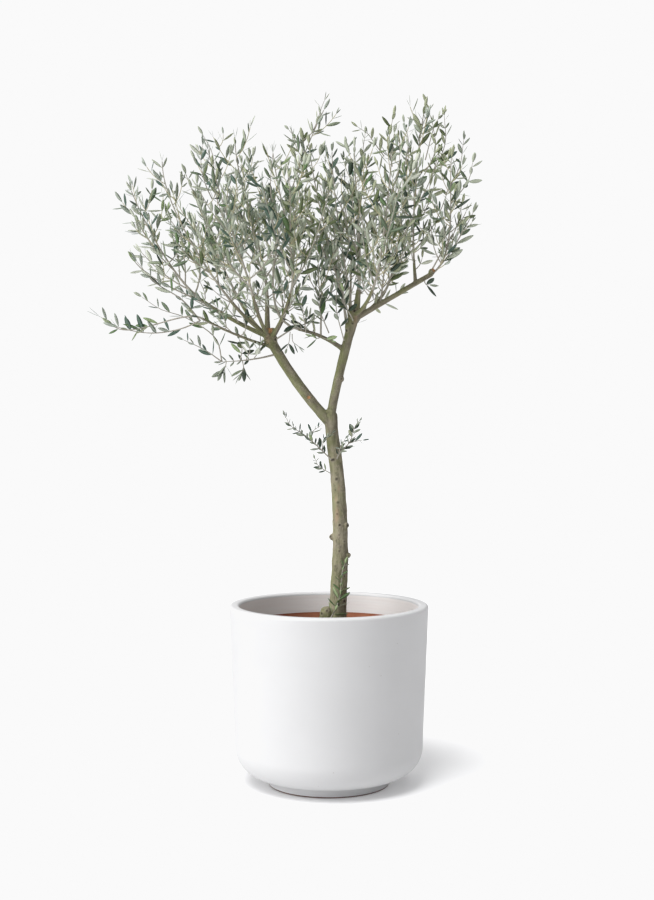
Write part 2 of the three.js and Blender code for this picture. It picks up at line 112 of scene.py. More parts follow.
# %% Node helpers
def node_group(name, kind, inputs, outputs):
    """A node group, its inputs and its output node, from each socket's name and what it holds."""
    tree = bpy.data.node_groups.new(name, kind)
    for side, sockets in (("INPUT", inputs), ("OUTPUT", outputs)):
        for label, holds in sockets.items():
            tree.interface.new_socket(label, in_out=side, socket_type=f"NodeSocket{holds}")
    return tree, tree.nodes.new("NodeGroupInput").outputs, tree.nodes.new("NodeGroupOutput")


def fill(tree, node, values):
    """Writes each value to its socket, or links it when it is a socket or a node's first output."""
    for key, value in values.items():
        if isinstance(value, bpy.types.Node):
            value = value.outputs[0]
        if isinstance(value, bpy.types.NodeSocket):
            tree.links.new(value, node.inputs[key])
        else:
            node.inputs[key].default_value = value


def add(tree, kind, values=None, **options):
    node = tree.nodes.new(kind)
    for option, value in options.items():
        setattr(node, option, value)
    fill(tree, node, values or {})
    return node


def math_node(tree, operation, *values, clamp=False):
    filled = dict(enumerate(values))
    return add(tree, "ShaderNodeMath", filled, operation=operation, use_clamp=clamp)


def blend_colour(tree, amount, first, second):
    mixed = add(tree, "ShaderNodeMix", {0: amount, 6: first, 7: second}, data_type="RGBA")
    return mixed.outputs[2]

# %% [markdown]
# ## One surface effect, used by every finish
# Glaze, raw clay, soil, bark and leaf all have the same two things: patches where the colour
# drifts, and a fine grain that breaks up the light. That effect is built once, as a group with
# named inputs, and each material gives it its own colours and scales. The group only puts out
# colours and values, and the shader stays in the material.

# %% The mottled surface group
MOTTLED, given, result = node_group(
    "mottled surface", "ShaderNodeTree",
    {"Vector": "Vector", "Base": "Color", "Tint": "Color", "Patch Scale": "Float",
     "Patch Contrast": "Float", "Grain Scale": "Float", "Grain Share": "Float"},
    {"Colour": "Color", "Patch": "Float", "Height": "Float"},
)
patch_noise, grain_noise = (
    add(MOTTLED, "ShaderNodeTexNoise",
        {"Vector": given["Vector"], "Scale": given[scale], "Detail": detail}).outputs["Fac"]
    for scale, detail in (("Patch Scale", 5.0), ("Grain Scale", 3.0))
)
centred = math_node(MOTTLED, "SUBTRACT", patch_noise, 0.5)
spread = math_node(MOTTLED, "MULTIPLY_ADD", centred, given["Patch Contrast"], 0.5, clamp=True)
mixed_mask = add(MOTTLED, "ShaderNodeMix", {0: given["Grain Share"], 2: spread, 3: grain_noise},
                 data_type="FLOAT")
fill(MOTTLED, result, {
    "Colour": blend_colour(MOTTLED, mixed_mask, given["Base"], given["Tint"]),
    "Patch": spread,
    "Height": math_node(MOTTLED, "MULTIPLY_ADD", grain_noise, 0.6, patch_noise),
})
print(MOTTLED.name, "is a group of", len(MOTTLED.nodes), "nodes")


# %% A finish made from it
def finish(name, base, tint, patch, grain, roughness, bump, contrast=3.0, grain_share=0.3,
           stretch=(1, 1, 1), pattern=None, plain_colour=False):
    """A material; `pattern` names the attribute that its texture follows, else the object."""
    material = bpy.data.materials.new(name)
    material.use_nodes = True
    tree = material.node_tree
    if pattern:
        place = add(tree, "ShaderNodeAttribute", attribute_name=pattern).outputs["Vector"]
    else:
        place = add(tree, "ShaderNodeTexCoord").outputs["Object"]
    place = add(tree, "ShaderNodeMapping", {"Vector": place, "Scale": stretch})
    surface = add(tree, "ShaderNodeGroup", node_tree=MOTTLED)
    fill(tree, surface, {
        "Vector": place, "Base": (*base, 1), "Tint": (*tint, 1), "Patch Scale": patch,
        "Patch Contrast": contrast, "Grain Scale": grain, "Grain Share": grain_share,
    })
    found, (low, high) = surface.outputs, roughness
    rough = add(tree, "ShaderNodeMapRange", {0: found["Patch"], 3: low, 4: high})
    relief = add(tree, "ShaderNodeBump", {"Height": found["Height"], "Distance": bump})
    fill(tree, tree.nodes["Principled BSDF"], {
        "Roughness": rough, "Normal": relief,
        "Base Color": (*base, 1) if plain_colour else found["Colour"],
    })
    return material


def overlay(material, mask, shade, under=False):
    """Lays one more colour over what a material shows, or under it, where a mask says so."""
    tree = material.node_tree
    socket = tree.nodes["Principled BSDF"].inputs["Base Color"]
    pair = [socket.links[0].from_socket, (*shade, 1)]
    tree.links.new(blend_colour(tree, mask, *(reversed(pair) if under else pair)), socket)

# %% Finishes of the pot
GLAZE = finish("matte_white_glaze", (0.758, 0.758, 0.763), (0.732, 0.732, 0.737), 9, 420,
               (0.42, 0.55), 0.00012, grain_share=0.25)
# Pinholes, where a bubble burst in the glaze as it was fired
PINHOLE_CELLS, PINHOLE_CORE, PINHOLE_EDGE = 34.0, 0.018, 0.03  # cells a metre, shares of a cell
PINHOLE_COLOUR = (0.42, 0.38, 0.35)
tree = GLAZE.node_tree
place = add(tree, "ShaderNodeTexCoord").outputs["Object"]
bubbles = add(tree, "ShaderNodeTexVoronoi", {"Vector": place, "Scale": PINHOLE_CELLS})
edge = {0: bubbles.outputs["Distance"], 1: PINHOLE_CORE, 2: PINHOLE_EDGE, 3: 1.0, 4: 0.0}
overlay(GLAZE, add(tree, "ShaderNodeMapRange", edge), PINHOLE_COLOUR)
# The inside's glaze is lighter and warmer than the outside's: partly its thin coat over the clay,
# partly painted light, a fill and the warm bounce of the clay
INNER_GLAZE_WITH_PAINTED_LIGHT = finish("thin_inner_glaze_painted_light", (0.97, 0.935, 0.915), (0.95, 0.89, 0.865), 14, 160,
                     (0.45, 0.6), 0.0002, stretch=(0.35, 0.35, 9))
RAW_CLAY = finish("raw_terracotta", (0.52, 0.20, 0.105), (0.40, 0.14, 0.075), 30, 500,
                  (0.8, 0.95), 0.0004)
# The foot's bare clay is real; its darkness, far below the same clay inside, is painted shade where
# the pot meets the floor
FOOT_CLAY_WITH_PAINTED_SHADE = finish("foot_clay_painted_shade", (0.20, 0.105, 0.075), (0.12, 0.065, 0.05), 40, 500,
                   (0.8, 0.95), 0.0003)
print("finishes so far:", [m.name for m in bpy.data.materials])

# %% [markdown]
# ## From arrays to objects
# Every piece ends as a plain mesh that sits at the origin. One helper turns arrays of points and
# faces into an object, and another runs a Geometry Nodes tree on an object and keeps the result
# as a mesh, so that no modifier is left on it.


# %% Object helpers
def new_object(name, points, faces=(), edges=(), smooth=True, materials=(), slots=None):
    mesh = bpy.data.meshes.new(name)
    mesh.from_pydata([tuple(p) for p in points], list(edges), [tuple(f) for f in faces])
    for material in materials:
        mesh.materials.append(material)
    if slots is not None:
        mesh.polygons.foreach_set("material_index", np.asarray(slots, dtype=np.int32))
    if smooth and len(mesh.polygons):
        mesh.polygons.foreach_set("use_smooth", [True] * len(mesh.polygons))
    mesh.update()
    made = bpy.data.objects.new(name, mesh)
    scene.collection.objects.link(made)
    return made


def attribute(made, name, values, kind="FLOAT"):
    kind = "FLOAT_VECTOR" if values.ndim == 2 else kind
    layer = made.data.attributes.new(name, kind, "POINT")
    layer.data.foreach_set("vector" if values.ndim == 2 else "value", values.ravel())


def evaluated(made, name):
    """The object's modifiers, applied to a new mesh; the object itself is removed."""
    graph = bpy.context.evaluated_depsgraph_get()
    mesh = bpy.data.meshes.new_from_object(made.evaluated_get(graph), depsgraph=graph)
    mesh.name = name
    source = made.data
    bpy.data.objects.remove(made)
    bpy.data.meshes.remove(source)
    result = bpy.data.objects.new(name, mesh)
    scene.collection.objects.link(result)
    return result


def grow(made, tree, name, **inputs):
    modifier = made.modifiers.new(tree.name, "NODES")
    modifier.node_group = tree
    for item in tree.interface.items_tree:
        if item.item_type == "SOCKET" and item.in_out == "INPUT" and item.name in inputs:
            modifier[item.identifier] = inputs[item.name]
    return evaluated(made, name)


def triangles(made):
    made.data.calc_loop_triangles()
    return len(made.data.loop_triangles)


FINISHED = []


def finished(made, slot, *nodes):
    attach(made, "root")
    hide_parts(*nodes)
    FINISHED.append(made)
    print(f"{made.name}: {triangles(made)} triangles")

# %% [markdown]
# ## The pot
# A thrown and turned pot is a body of revolution, so its shape is one profile turned round the
# axis. Spin and Screw would do it too; writing the rings directly keeps control over which faces
# are glazed. The outside is turned smooth, the inside keeps the shallow rings of the throwing,
# the glaze stops a little way down it, and a thin line of bare clay shows under the foot. The
# glaze inside is lighter and warmer than outside: partly its thin coat over the clay, partly
# painted light, a fill and the warm bounce of the clay. The clay of the foot is darker than the
# clay inside, which is painted shade where the pot stands on the floor.

# %% Profile of the pot
POT = dict(height=362, rim=200, base=189, corner=57, foot_height=20, wall=20, lip=6, floor=42)
SOIL_LEVEL = POT["height"] - 55
GLAZE_DEPTH = 42  # how far down the inside the glaze runs
CORNER_TOP = POT["foot_height"] + POT["corner"]
POT_SIDES, WALL_RINGS, CORNER_STEPS, LIP_STEPS = 168, 36, 20, 8
THROWING_PITCH, THROWING_DEPTH = 6.3, 0.15  # the rings that the fingers leave inside
TURNING_WAVE, TURNING_PITCH = 0.12, 11  # how far the outer wall is from straight
BELOW_SOIL = 12  # how far the inner wall's fine rings go on under the soil
GLAZE_THICKNESS, INNER_STEP = 0.45, 1.2
OUTSIDE, INSIDE, CLAY, FOOT = range(4)


def wall_radius(z):
    share = (z - CORNER_TOP) / (POT["height"] - CORNER_TOP)
    return POT["base"] + (POT["rim"] - POT["base"]) * share


def arc_of(centre, radius, start, end, steps):
    turns = np.radians(np.linspace(start, end, steps + 1))
    return [(centre[0] + radius * math.cos(a), centre[1] + radius * math.sin(a)) for a in turns]


def wander(x, y, z):
    """Smooth noise from -1 to 1."""
    return noise.noise(Vector((x, y, z)))


def throwing_ring(z):
    uneven = wander(z * 0.07, 3.1, 0)
    turn = FULL_TURN * z / THROWING_PITCH + 2.2 * uneven
    return THROWING_DEPTH * math.sin(turn) * (0.6 + 0.6 * uneven)


lip_foot = POT["height"] - POT["lip"]
lip_outer = wall_radius(lip_foot) - POT["lip"]
lip_inner = wall_radius(lip_foot) - POT["wall"] + POT["lip"]
# The foot, as radius and height: a shallow recess, a bare ring to stand on, a glazed collar
BARE_FOOT = [(0, 3), (60, 3), (103, 3), (106.5, 2.2), (108, 0.8), (110, 0), (119.6, 0),
             (121.1, 0.5), (121.8, 1.7), (122, 2.6)]
COLLAR = [(122, 3.6), (121.6, 8), (121.5, 14), (122.4, 18), (124.6, 19.7), (128, 20)]
glazed = COLLAR + arc_of((POT["base"] - POT["corner"], CORNER_TOP), POT["corner"], -90, 0,
                         CORNER_STEPS)
for z in np.linspace(CORNER_TOP, lip_foot, WALL_RINGS)[1:-1]:
    wave = TURNING_WAVE * math.sin(z / TURNING_PITCH)
    glazed.append((wall_radius(z) - TURNING_WAVE + wave, z))
glazed += arc_of((lip_outer, lip_foot), POT["lip"], 0, 90, LIP_STEPS)
glazed += arc_of((lip_inner, lip_foot), POT["lip"], 90, 180, LIP_STEPS)
profile = [(*at, FOOT) for at in BARE_FOOT] + [(*at, OUTSIDE) for at in glazed]
for z in np.arange(lip_foot - INNER_STEP, SOIL_LEVEL - BELOW_SOIL, -INNER_STEP):
    bare = POT["height"] - z > GLAZE_DEPTH
    inner = wall_radius(z) - POT["wall"] + throwing_ring(z) + (GLAZE_THICKNESS if bare else 0)
    profile.append((inner, z, CLAY if bare else INSIDE))
hollow = POT["corner"] - POT["wall"]
hollow_top = POT["floor"] + hollow
hollow_arc = arc_of((wall_radius(hollow_top) - POT["wall"] - hollow, hollow_top), hollow, 0, -90, 8)
profile += [(*at, CLAY) for at in hollow_arc + [(0, POT["floor"])]]
print("the pot's profile has", len(profile), "points")


# %% The profile turned
def lathe(profile, sides):
    """Points and faces of a profile of (radius, height, slot) turned round the Z axis."""
    turns = np.linspace(0, FULL_TURN, sides, endpoint=False)
    points, rings, faces, slots = [], [], [], []
    for radius, z, _ in profile:
        rings.append(len(points))
        if radius == 0:
            points.append((0, 0, z))
        else:
            points += [(radius * math.cos(a), radius * math.sin(a), z) for a in turns]
    for step, slot in enumerate(row[2] for row in profile[1:]):
        low, high = rings[step], rings[step + 1]
        for i in range(sides):
            j = (i + 1) % sides
            if profile[step][0] == 0:
                faces.append((low, high + j, high + i))
            elif profile[step + 1][0] == 0:
                faces.append((low + i, low + j, high))
            else:
                faces.append((low + i, low + j, high + j, high + i))
            slots.append(slot)
    return np.array(points), faces, slots


pot_points, pot_faces, pot_slots = lathe(profile, POT_SIDES)
pot = new_object("glazed_pot", pot_points * MM, pot_faces,
                 materials=(GLAZE, INNER_GLAZE_WITH_PAINTED_LIGHT, RAW_CLAY, FOOT_CLAY_WITH_PAINTED_SHADE), slots=pot_slots)
finished(pot, "pot", "pot")

# %% [markdown]
# ## The soil
# Potting soil is a crumbly surface, a little mounded round the stem, with bits of bark and pale
# grit in it. The ground is a disc with noise in its height. The bits are the kind of thing
# Geometry Nodes do well: points are scattered on the disc with a fixed seed, a small stone is set
# on each with its own turn and size, and the instances are made real at the end.

# %% Ground
SOIL = finish("potting_soil", (0.055, 0.036, 0.024), (0.022, 0.014, 0.010), 60, 700,
              (0.85, 1.0), 0.0012)
CRUMB = finish("soil_crumbs", (0.085, 0.052, 0.032), (0.03, 0.019, 0.013), 45, 500,
               (0.85, 1.0), 0.0006)
GRIT = finish("pumice_grit", (0.52, 0.46, 0.36), (0.34, 0.28, 0.20), 60, 600,
              (0.8, 0.95), 0.0006)
SOIL_RINGS, SOIL_SIDES, SOIL_DEPTH, SOIL_CLEAR, SETTLED = 46, 120, 40, 1.2, 3.5
STEM_X, MOUND_HEIGHT, MOUND_SPREAD = 14, 3, 60  # the mound round the foot of the stem
soil_rim = wall_radius(SOIL_LEVEL) - POT["wall"] - SOIL_CLEAR


def soil_height(x, y):
    rough = noise.noise(Vector((x, y, 0)) * 0.035) * 2.2 + noise.noise(Vector((x, y, 5)) * 0.14)
    mound = MOUND_HEIGHT * math.exp(-((x - STEM_X) ** 2 + y * y) / MOUND_SPREAD**2)
    return SOIL_LEVEL - SETTLED + rough + mound


ground = [(0, SOIL_LEVEL - SOIL_DEPTH, 0), (soil_rim, SOIL_LEVEL - SOIL_DEPTH, 0)]
ground += [(soil_rim * (1 - i / SOIL_RINGS), SOIL_LEVEL, 0) for i in range(SOIL_RINGS + 1)]
soil_points, soil_faces, _ = lathe(ground, SOIL_SIDES)
top = soil_points[:, 2] > SOIL_LEVEL - 1
soil_points[top, 2] = [soil_height(x, y) for x, y, _ in soil_points[top]]
soil = new_object("soil_surface", soil_points * MM, soil_faces, materials=(SOIL,))
finished(soil, "soil", "soil")


# %% Crumbs and grit
def real_and_worn(tree, shapes, material, result):
    """The end of a tree: Realize Instances, then Set Material."""
    real = add(tree, "GeometryNodeRealizeInstances", {0: shapes})
    worn = add(tree, "GeometryNodeSetMaterial", {"Geometry": real, "Material": material})
    fill(tree, result, {"Geometry": worn})


SCATTER, given, result = node_group(
    "scattered bits", "GeometryNodeTree",
    {"Geometry": "Geometry", "Density": "Float", "Size": "Float", "Seed": "Int",
     "Finish": "Material"},
    {"Geometry": "Geometry"},
)
facing = add(SCATTER, "GeometryNodeInputNormal")
upward = add(SCATTER, "ShaderNodeSeparateXYZ", {0: facing}).outputs[2]
on_top = add(SCATTER, "FunctionNodeCompare", {0: upward, 1: 0.5}, operation="GREATER_THAN")
spots = add(
    SCATTER, "GeometryNodeDistributePointsOnFaces",
    {"Mesh": given["Geometry"], "Selection": on_top, "Density": given["Density"],
     "Seed": given["Seed"]},
)
stone = add(SCATTER, "GeometryNodeMeshIcoSphere", {"Radius": 1.0, "Subdivisions": 1})
ANY_TURN, SMALLEST, LARGEST, SHAPE_SEED = (6.3, 6.3, 6.3), (0.35, 0.25, 0.2), (1.3, 0.9, 0.6), 3
turn, shape = (
    add(SCATTER, "FunctionNodeRandomValue", values, data_type="FLOAT_VECTOR")
    for values in ({1: ANY_TURN, "Seed": given["Seed"]},
                   {0: SMALLEST, 1: LARGEST, "Seed": SHAPE_SEED})
)
sized = add(SCATTER, "ShaderNodeVectorMath", {0: shape, 3: given["Size"]}, operation="SCALE")
bits = add(SCATTER, "GeometryNodeInstanceOnPoints",
           {"Points": spots, "Instance": stone, "Rotation": turn, "Scale": sized})
real_and_worn(SCATTER, bits, given["Finish"], result)


def soil_bits(name, density, size, seed, material):
    base = new_object("ground", soil_points * MM, soil_faces)
    made = grow(base, SCATTER, name, Density=density, Size=size, Seed=seed, Finish=material)
    finished(made, "soil", "soil")


soil_bits("soil_crumbs", 16000.0, 0.0032, 4, CRUMB)
soil_bits("soil_grit", 900.0, 0.0028, 9, GRIT)

# %% [markdown]
# ## The rule of growth
# The solids of the crown come from a rule: limbs are arcs that leave a parent at a share of its
# length, each mass of foliage has one stem that carries on from a limb, and shoots leave the stem
# turned by the golden angle and bend upwards. The same rule is written again here, with the same
# sizes and seeds, so that the fine crown grows out of the same limbs and keeps to the same space.
# What changes is how far it is carried: every shoot is grown, with side twigs, and small leaves.


# %% Tables of numbers
def table(text):
    """Rows of words and numbers; a row ends at a line's end or at a semicolon."""
    def value(word):
        return word if word[0].isalpha() else float(word)

    lines = text.replace(";", "\n").splitlines()
    return [[value(word) for word in line.split()] for line in lines if line.strip()]


# %% Curves read by their share of length
class Line:
    def __init__(self, curve, steps=200):
        self.curve = curve
        self.shares = np.linspace(0, 1, steps + 1)
        points = curve(self.shares)
        gaps = norm(np.diff(points, axis=0), axis=1)
        self.runs = np.concatenate([[0], np.cumsum(gaps)])
        self.length = self.runs[-1]

    def share(self, along):
        return np.interp(np.asarray(along) * self.length, self.runs, self.shares)

    def at(self, along):
        return self.curve(self.share(along))

    def heading(self, along):
        share, step = self.share(along), 1e-4
        ahead = self.curve(np.minimum(share + step, 1)) - self.curve(np.maximum(share - step, 0))
        return unit(ahead)


def unit(v):
    return v / np.maximum(norm(v, axis=-1, keepdims=True), 1e-12)


def level(turn, up=0.0):
    return np.array([math.cos(turn), math.sin(turn), up])


# %% Two kinds of curve
def bezier(*controls):
    controls, degree = np.array(controls, float), len(controls) - 1

    def curve(share):
        t = np.asarray(share, float)[..., None]
        return sum(
            math.comb(degree, i) * (1 - t) ** (degree - i) * t**i * point
            for i, point in enumerate(controls)
        )

    return curve


def through(points):
    """A centripetal Catmull-Rom curve through the points."""
    points = np.array(points, float)
    points = np.vstack([2 * points[0] - points[1], points, 2 * points[-1] - points[-2]])
    pieces = len(points) - 3

    def curve(share):
        flat = np.atleast_1d(np.asarray(share, float)) * pieces
        index = np.minimum(flat.astype(int), pieces - 1)
        t = (flat - index)[:, None]
        p0, p1, p2, p3 = (points[index + k] for k in range(4))
        d0, d1, d2 = (
            np.sqrt(norm(b - a, axis=1, keepdims=True))
            for a, b in ((p0, p1), (p1, p2), (p2, p3))
        )
        m1 = ((p1 - p0) / d0 - (p2 - p0) / (d0 + d1) + (p2 - p1) / d1) * d1
        m2 = ((p2 - p1) / d1 - (p3 - p1) / (d1 + d2) + (p3 - p2) / d2) * d1
        found = p1 + m1 * t + (3 * (p2 - p1) - 2 * m1 - m2) * t**2
        found = found + (2 * (p1 - p2) + m1 + m2) * t**3
        return found if np.ndim(share) else found[0]

    return curve


# %% Random draws
def seeded(seed):
    """The same small random source as the solids use: numbers from 0 to 1."""
    mask = 0xFFFFFFFF
    state = seed & mask

    def draw():
        nonlocal state
        state = (state + 0x6D2B79F5) & mask
        t = ((state ^ (state >> 15)) * (1 | state)) & mask
        t = ((t + (((t ^ (t >> 7)) * (61 | t)) & mask)) ^ t) & mask
        return (t ^ (t >> 14)) / 2**32

    return draw


def mix(a, b, share):
    return a + (b - a) * share

# %% Trunk and limbs
UP = np.array([0.0, 0.0, 1.0])
TRUNK_LINE = [(14, 0, SOIL_LEVEL - 14), (19, 0, 372), (23, 0, 470), (22, 0, 545), (16, 0, 628),
              (7, 0, 702), (4, 0, 744)]
TRUNK_FOOT, TRUNK_TOP, FLARE, FLARE_HEIGHT = 17.5, 12.5, 11, 16
# Name, parent, share of the parent, tip, sag, radii at foot and tip
LIMBS = table("""
left_bough trunk 0.955 -122.5 0 903.5 0.035 10.2 10.0
right_bough trunk 1 55 0 953 -0.012 8.6 9.9
left_under_bough left_bough 0.86 -246 -58 931 0.03 3.2 2.3
left_outer_bough left_bough 0.97 -256 20 973 0.03 4.8 3.4
left_upper_bough left_bough 0.985 -192 -66 966 0.04 4.2 3.2
left_back_bough left_bough 0.96 -186 106 980 0.05 4.4 3.2
left_front_bough left_bough 0.975 -146 -116 972 0.06 4.2 3.2
left_leader_bough left_bough 1 -124 16 980 0 5.4 4.2
middle_front_bough left_bough 0.95 -74 -98 978 0.06 4 3
middle_back_bough left_bough 0.94 -80 118 984 0.06 4.2 3.2
crossing_bough right_bough 0.6 -60 -20 912 -0.06 4.6 3
rising_bough right_bough 0.66 44 92 972 0.1 4.4 3.2
right_leader_bough right_bough 1 59 -18 990 0 6.4 4.6
right_front_bough right_bough 0.95 84 -112 984 0.07 4.6 3.2
right_back_bough right_bough 0.93 116 112 996 0.07 4.8 3.4
right_limb right_bough 0.9 204 0 1022.5 0 5.6 5.1
right_upper_bough right_limb 0.8 171 26 1054 0.02 3.6 2.8
""")


# %% Limbs that leave their parents
def arc(start, end, sag):
    chord = end - start
    length = norm(chord)
    along = chord / length
    drop = unit(-UP + along * along[2]) * (4 / 3) * sag * length
    return bezier(start, start + chord / 3 + drop, start + chord * 2 / 3 + drop, end)


limbs = {"trunk": (Line(through(TRUNK_LINE)), (TRUNK_FOOT, TRUNK_TOP))}
for name, parent, share, *tip, sag, foot, end in LIMBS:
    limbs[name] = (Line(arc(limbs[parent][0].at(share), np.array(tip), sag)), (foot, end))


def along_limbs(spacing):
    """Points along every limb, with the limb's heading, its radius and the length run there."""
    rows = []
    for number, (line, radii) in enumerate(limbs.values()):
        steps = np.linspace(0, 1, math.ceil(line.length / spacing) + 1)
        run = steps * line.length + number * APART
        rows.append((line.at(steps), line.heading(steps), mix(*radii, steps), run))
    return [np.concatenate(column) for column in zip(*rows)]


APART = 517  # sets the pattern of each limb off from the next
limb_marks, _, limb_reach, _ = along_limbs(8)
print(len(limbs), "limbs,", round(sum(line.length for line, _ in limbs.values())), "mm in all")

# %% Stems of the masses
Stem = namedtuple("Stem", "name limb share x y z lean_x lean_y spread bare shoots")
MASSES = table("""
foliage_left_low left_under_bough 1 -416 -60 912 -1.2 0 36 0.2 0
foliage_left_side left_outer_bough 0.82 -384 -34 1046 -0.5 0 60 0.35 1
foliage_left_outer left_outer_bough 1 -394 30 1184 -0.4 0 84 0.05 12
foliage_left_upper left_upper_bough 1 -322 -88 1224 0 0 84 0.1 7
foliage_left_back left_back_bough 1 -276 160 1216 0 0.2 86 0.15 7
foliage_left_front left_front_bough 1 -226 -158 1236 -0.2 -0.2 88 0.05 11
foliage_left_top left_leader_bough 1 -188 24 1286 0 0 84 0.05 12
foliage_middle_front middle_front_bough 1 -104 -176 1226 -0.1 -0.2 90 0.04 12
foliage_middle_back middle_back_bough 1 -86 182 1256 0 0.3 92 0.04 7
foliage_middle_top crossing_bough 1 -14 0 1340 0.5 0 84 0.05 11
foliage_inner_right rising_bough 1 54 156 1262 0.1 0.2 90 0.05 7
foliage_right_top right_leader_bough 1 50 -46 1258 0 0 86 0.05 11
foliage_right_front right_front_bough 1 122 -156 1266 0.1 -0.2 88 0.04 10
foliage_right_back right_back_bough 1 166 146 1282 0.1 0.2 88 0.04 8
foliage_right_upper right_upper_bough 1 190 20 1346 0.2 0 72 0.05 13
foliage_right_outer right_limb 1 240 -36 1240 0.1 0 46 0.06 12
sprout_between left_bough 0.87 -44 -34 902 0.6 -0.2 36 0.3 0
sprout_under_left left_bough 0.72 -213 -10 848 -1.0 0 44 0.4 0
sprout_limb_end right_limb 0.93 201 -10 1002 0.6 -0.2 24 0.3 0
sprout_trunk_left trunk 0.76 -87 -26 744 -0.3 0 32 0.2 0
sprout_trunk_right trunk 0.78 62 -26 732 0.4 0 28 0.2 0
sprout_foot trunk 0.1 32 -27 448 0.3 0 18 0.3 0
""")
# More stems of the same kind in the fullest masses
SECOND_STEMS = table("""
foliage_middle_top right_bough 0.78 -38 -60 1262 -0.1 0 66 0.25 8
foliage_right_top right_bough 0.9 6 -104 1240 0 -0.1 70 0.25 7
foliage_inner_right right_bough 0.7 2 84 1252 0 0.1 66 0.3 3
foliage_middle_top crossing_bough 0.55 -12 -56 1066 0.1 0 60 0.2 6
foliage_inner_right rising_bough 0.7 14 60 1066 0 0 60 0.2 5
foliage_right_top right_limb 0.35 120 -40 1130 0.1 0 60 0.15 8
""")
STEMS = [Stem(*row) for row in MASSES + SECOND_STEMS]
SPROUTS = range(len(MASSES) - 6, len(MASSES))
FIRST_SEED = 11
SPACE_SAMPLES, SHARED_SPACE, LIMB_MARGIN = 9, 44, 1.5
STEM_OVERRUN = 8  # a stem's last shoot stands this far out of its mass
GOLDEN_ANGLE = math.pi * (3 - math.sqrt(5))
LONG_STEM, STEM_BEND = 150, 0.28


# %% Stems, and the room that each has
def stem_of(row):
    line, tip = limbs[row.limb][0], np.array([row.x, row.y, row.z])
    start = line.at(row.share)
    arrive = unit(np.array([row.lean_x, row.lean_y, 1.0]))
    reach = norm(tip - start)
    leave = line.heading(1) if row.share == 1 else unit(tip - start)
    if reach > LONG_STEM:
        tip = tip + arrive * STEM_OVERRUN
    leave, arrive = (way * reach * STEM_BEND for way in (leave, arrive))
    return Line(bezier(start, start + leave, tip - arrive, tip))


stems = [stem_of(row) for row in STEMS]
print(len(stems), "stems, the longest of", round(max(stem.length for stem in stems)), "mm")
stem_marks = np.array([stem.at(np.linspace(0, 1, SPACE_SAMPLES + 1)) for stem in stems])


def fits(owner, points):
    """Which points lie in the owner's space, or a little over its edge, and clear of limbs."""
    points = np.atleast_2d(points)
    gaps = norm(points[:, None, None] - stem_marks[None], axis=3).min(axis=2)
    own = gaps[:, owner] - SHARED_SPACE
    gaps[:, owner] = np.inf
    limb_gaps = norm(points[:, None] - limb_marks[None], axis=2)
    clear = (limb_gaps > limb_reach + LIMB_MARGIN).all(axis=1)
    return (gaps > own[:, None]).all(axis=1) & clear

# %% Shoots
FOOT_CROWDING, LAST_SHOOT = 1.25, 0.93
REACH_AT_TIP = 0.42  # of a shoot at the stem's tip, as a share of one at its foot
REACH_DRAWN, STEEPEST = (0.7, 1.1), (2.5, 1.5)  # the second: at the stem's foot and tip
TRIED_SCALES, TRIED_SIDES = (1, 0.75, 0.5), (0, 1, -1, 2, -2, 3)


def shoot_curve(owner, place, turn, scale, draw):
    row, stem = STEMS[owner], stems[owner]
    at = mix(row.bare, LAST_SHOOT, place**FOOT_CROWDING)
    start, axis = stem.at(at), unit(stem.heading(at) + UP)
    side = level(turn)
    out = scale * row.spread * mix(1, REACH_AT_TIP, place) * mix(*REACH_DRAWN, draw())
    rise = out * mix(1.0, mix(*STEEPEST, place), draw())
    tip = start + side * out + axis * rise
    return at, Line(bezier(start, start + side * out * 0.62 + axis * rise * 0.3, tip), 40)


def fitted_shoot(owner, index):
    seed = FIRST_SEED + owner
    for scale in TRIED_SCALES:
        for aside in TRIED_SIDES:
            turn = index * GOLDEN_ANGLE + seed + aside * math.pi / 3
            draw = seeded(seed * 1000 + index)
            place = (index + 0.5) / STEMS[owner].shoots
            at, line = shoot_curve(owner, place, turn, scale, draw)
            if fits(owner, line.at(np.linspace(0, 1, 7)[1:])).all():
                return at, line
    return None


shoots = []
for owner, row in enumerate(STEMS):
    found = [fitted_shoot(owner, index) for index in range(int(row.shoots))]
    shoots.append([grown for grown in found if grown])
print(sum(map(len, shoots)), "shoots on", len(STEMS), "stems")

# %% [markdown]
# ## Side twigs and leaves
# Olive leaves stand in opposite pairs, each pair turned a quarter from the last, and point
# forward along the twig. A leaf needs a root, a direction, the way its upper face looks, and a
# size. These are only numbers at this stage; the mesh is made from them afterwards, all at once.

# %% Leaves along a line
STEM_TIP, SHOOT_TIP, TWIG_TIP = 0.9, 0.7, 0.5  # radii
PAIR_SPACING, LEAF_LENGTH = 20, 39
LEAF_WIDTH = (0.19, 0.29)  # as a share of the length
LAST_LEAVES, END_PAIR = 0.62, (0.36, 0.7)  # lengths, as shares of a leaf near the foot
PAIR_DRAWN, LEAF_DRAWN = (0.7, 1.15), (0.84, 1.08)
LEAF_TWIST = 75  # most turn of a leaf about its own stalk, in degrees
STRAY_TINTS, FALLEN = 0.25, 0.10  # shares of the leaves
twig_lines = {"old": [], "young": []}  # each a list of (points, radii)
leaf_rows = []  # owner, root, direction, upper face, length, width, tint
TINTS = ("deep", "blue", "sage", "olive", "silver", "fresh")
ANYWHERE = -1


def tint_with_painted_light_and_shade(point, draw):
    """A tint drawn at random by weight. Deep ones are likelier low down and on the crown's right,
    away from the light, which is painted shade; silver ones are likelier on its left, towards the
    light, which is painted light; yellower ones at the top right.
    """
    x, y, z = point
    high = (z - 900) / 450
    weights = np.array([
        0.24 - 0.08 * high + 0.0006 * x, 0.22 - 0.0005 * x, 0.27,
        0.14 + 0.0007 * x + 0.20 * high, 0.18 - 0.0004 * x - 0.06 * high, 0.03,
    ]).clip(0.02)
    return TINTS[int(np.searchsorted(np.cumsum(weights) / weights.sum(), draw()))]


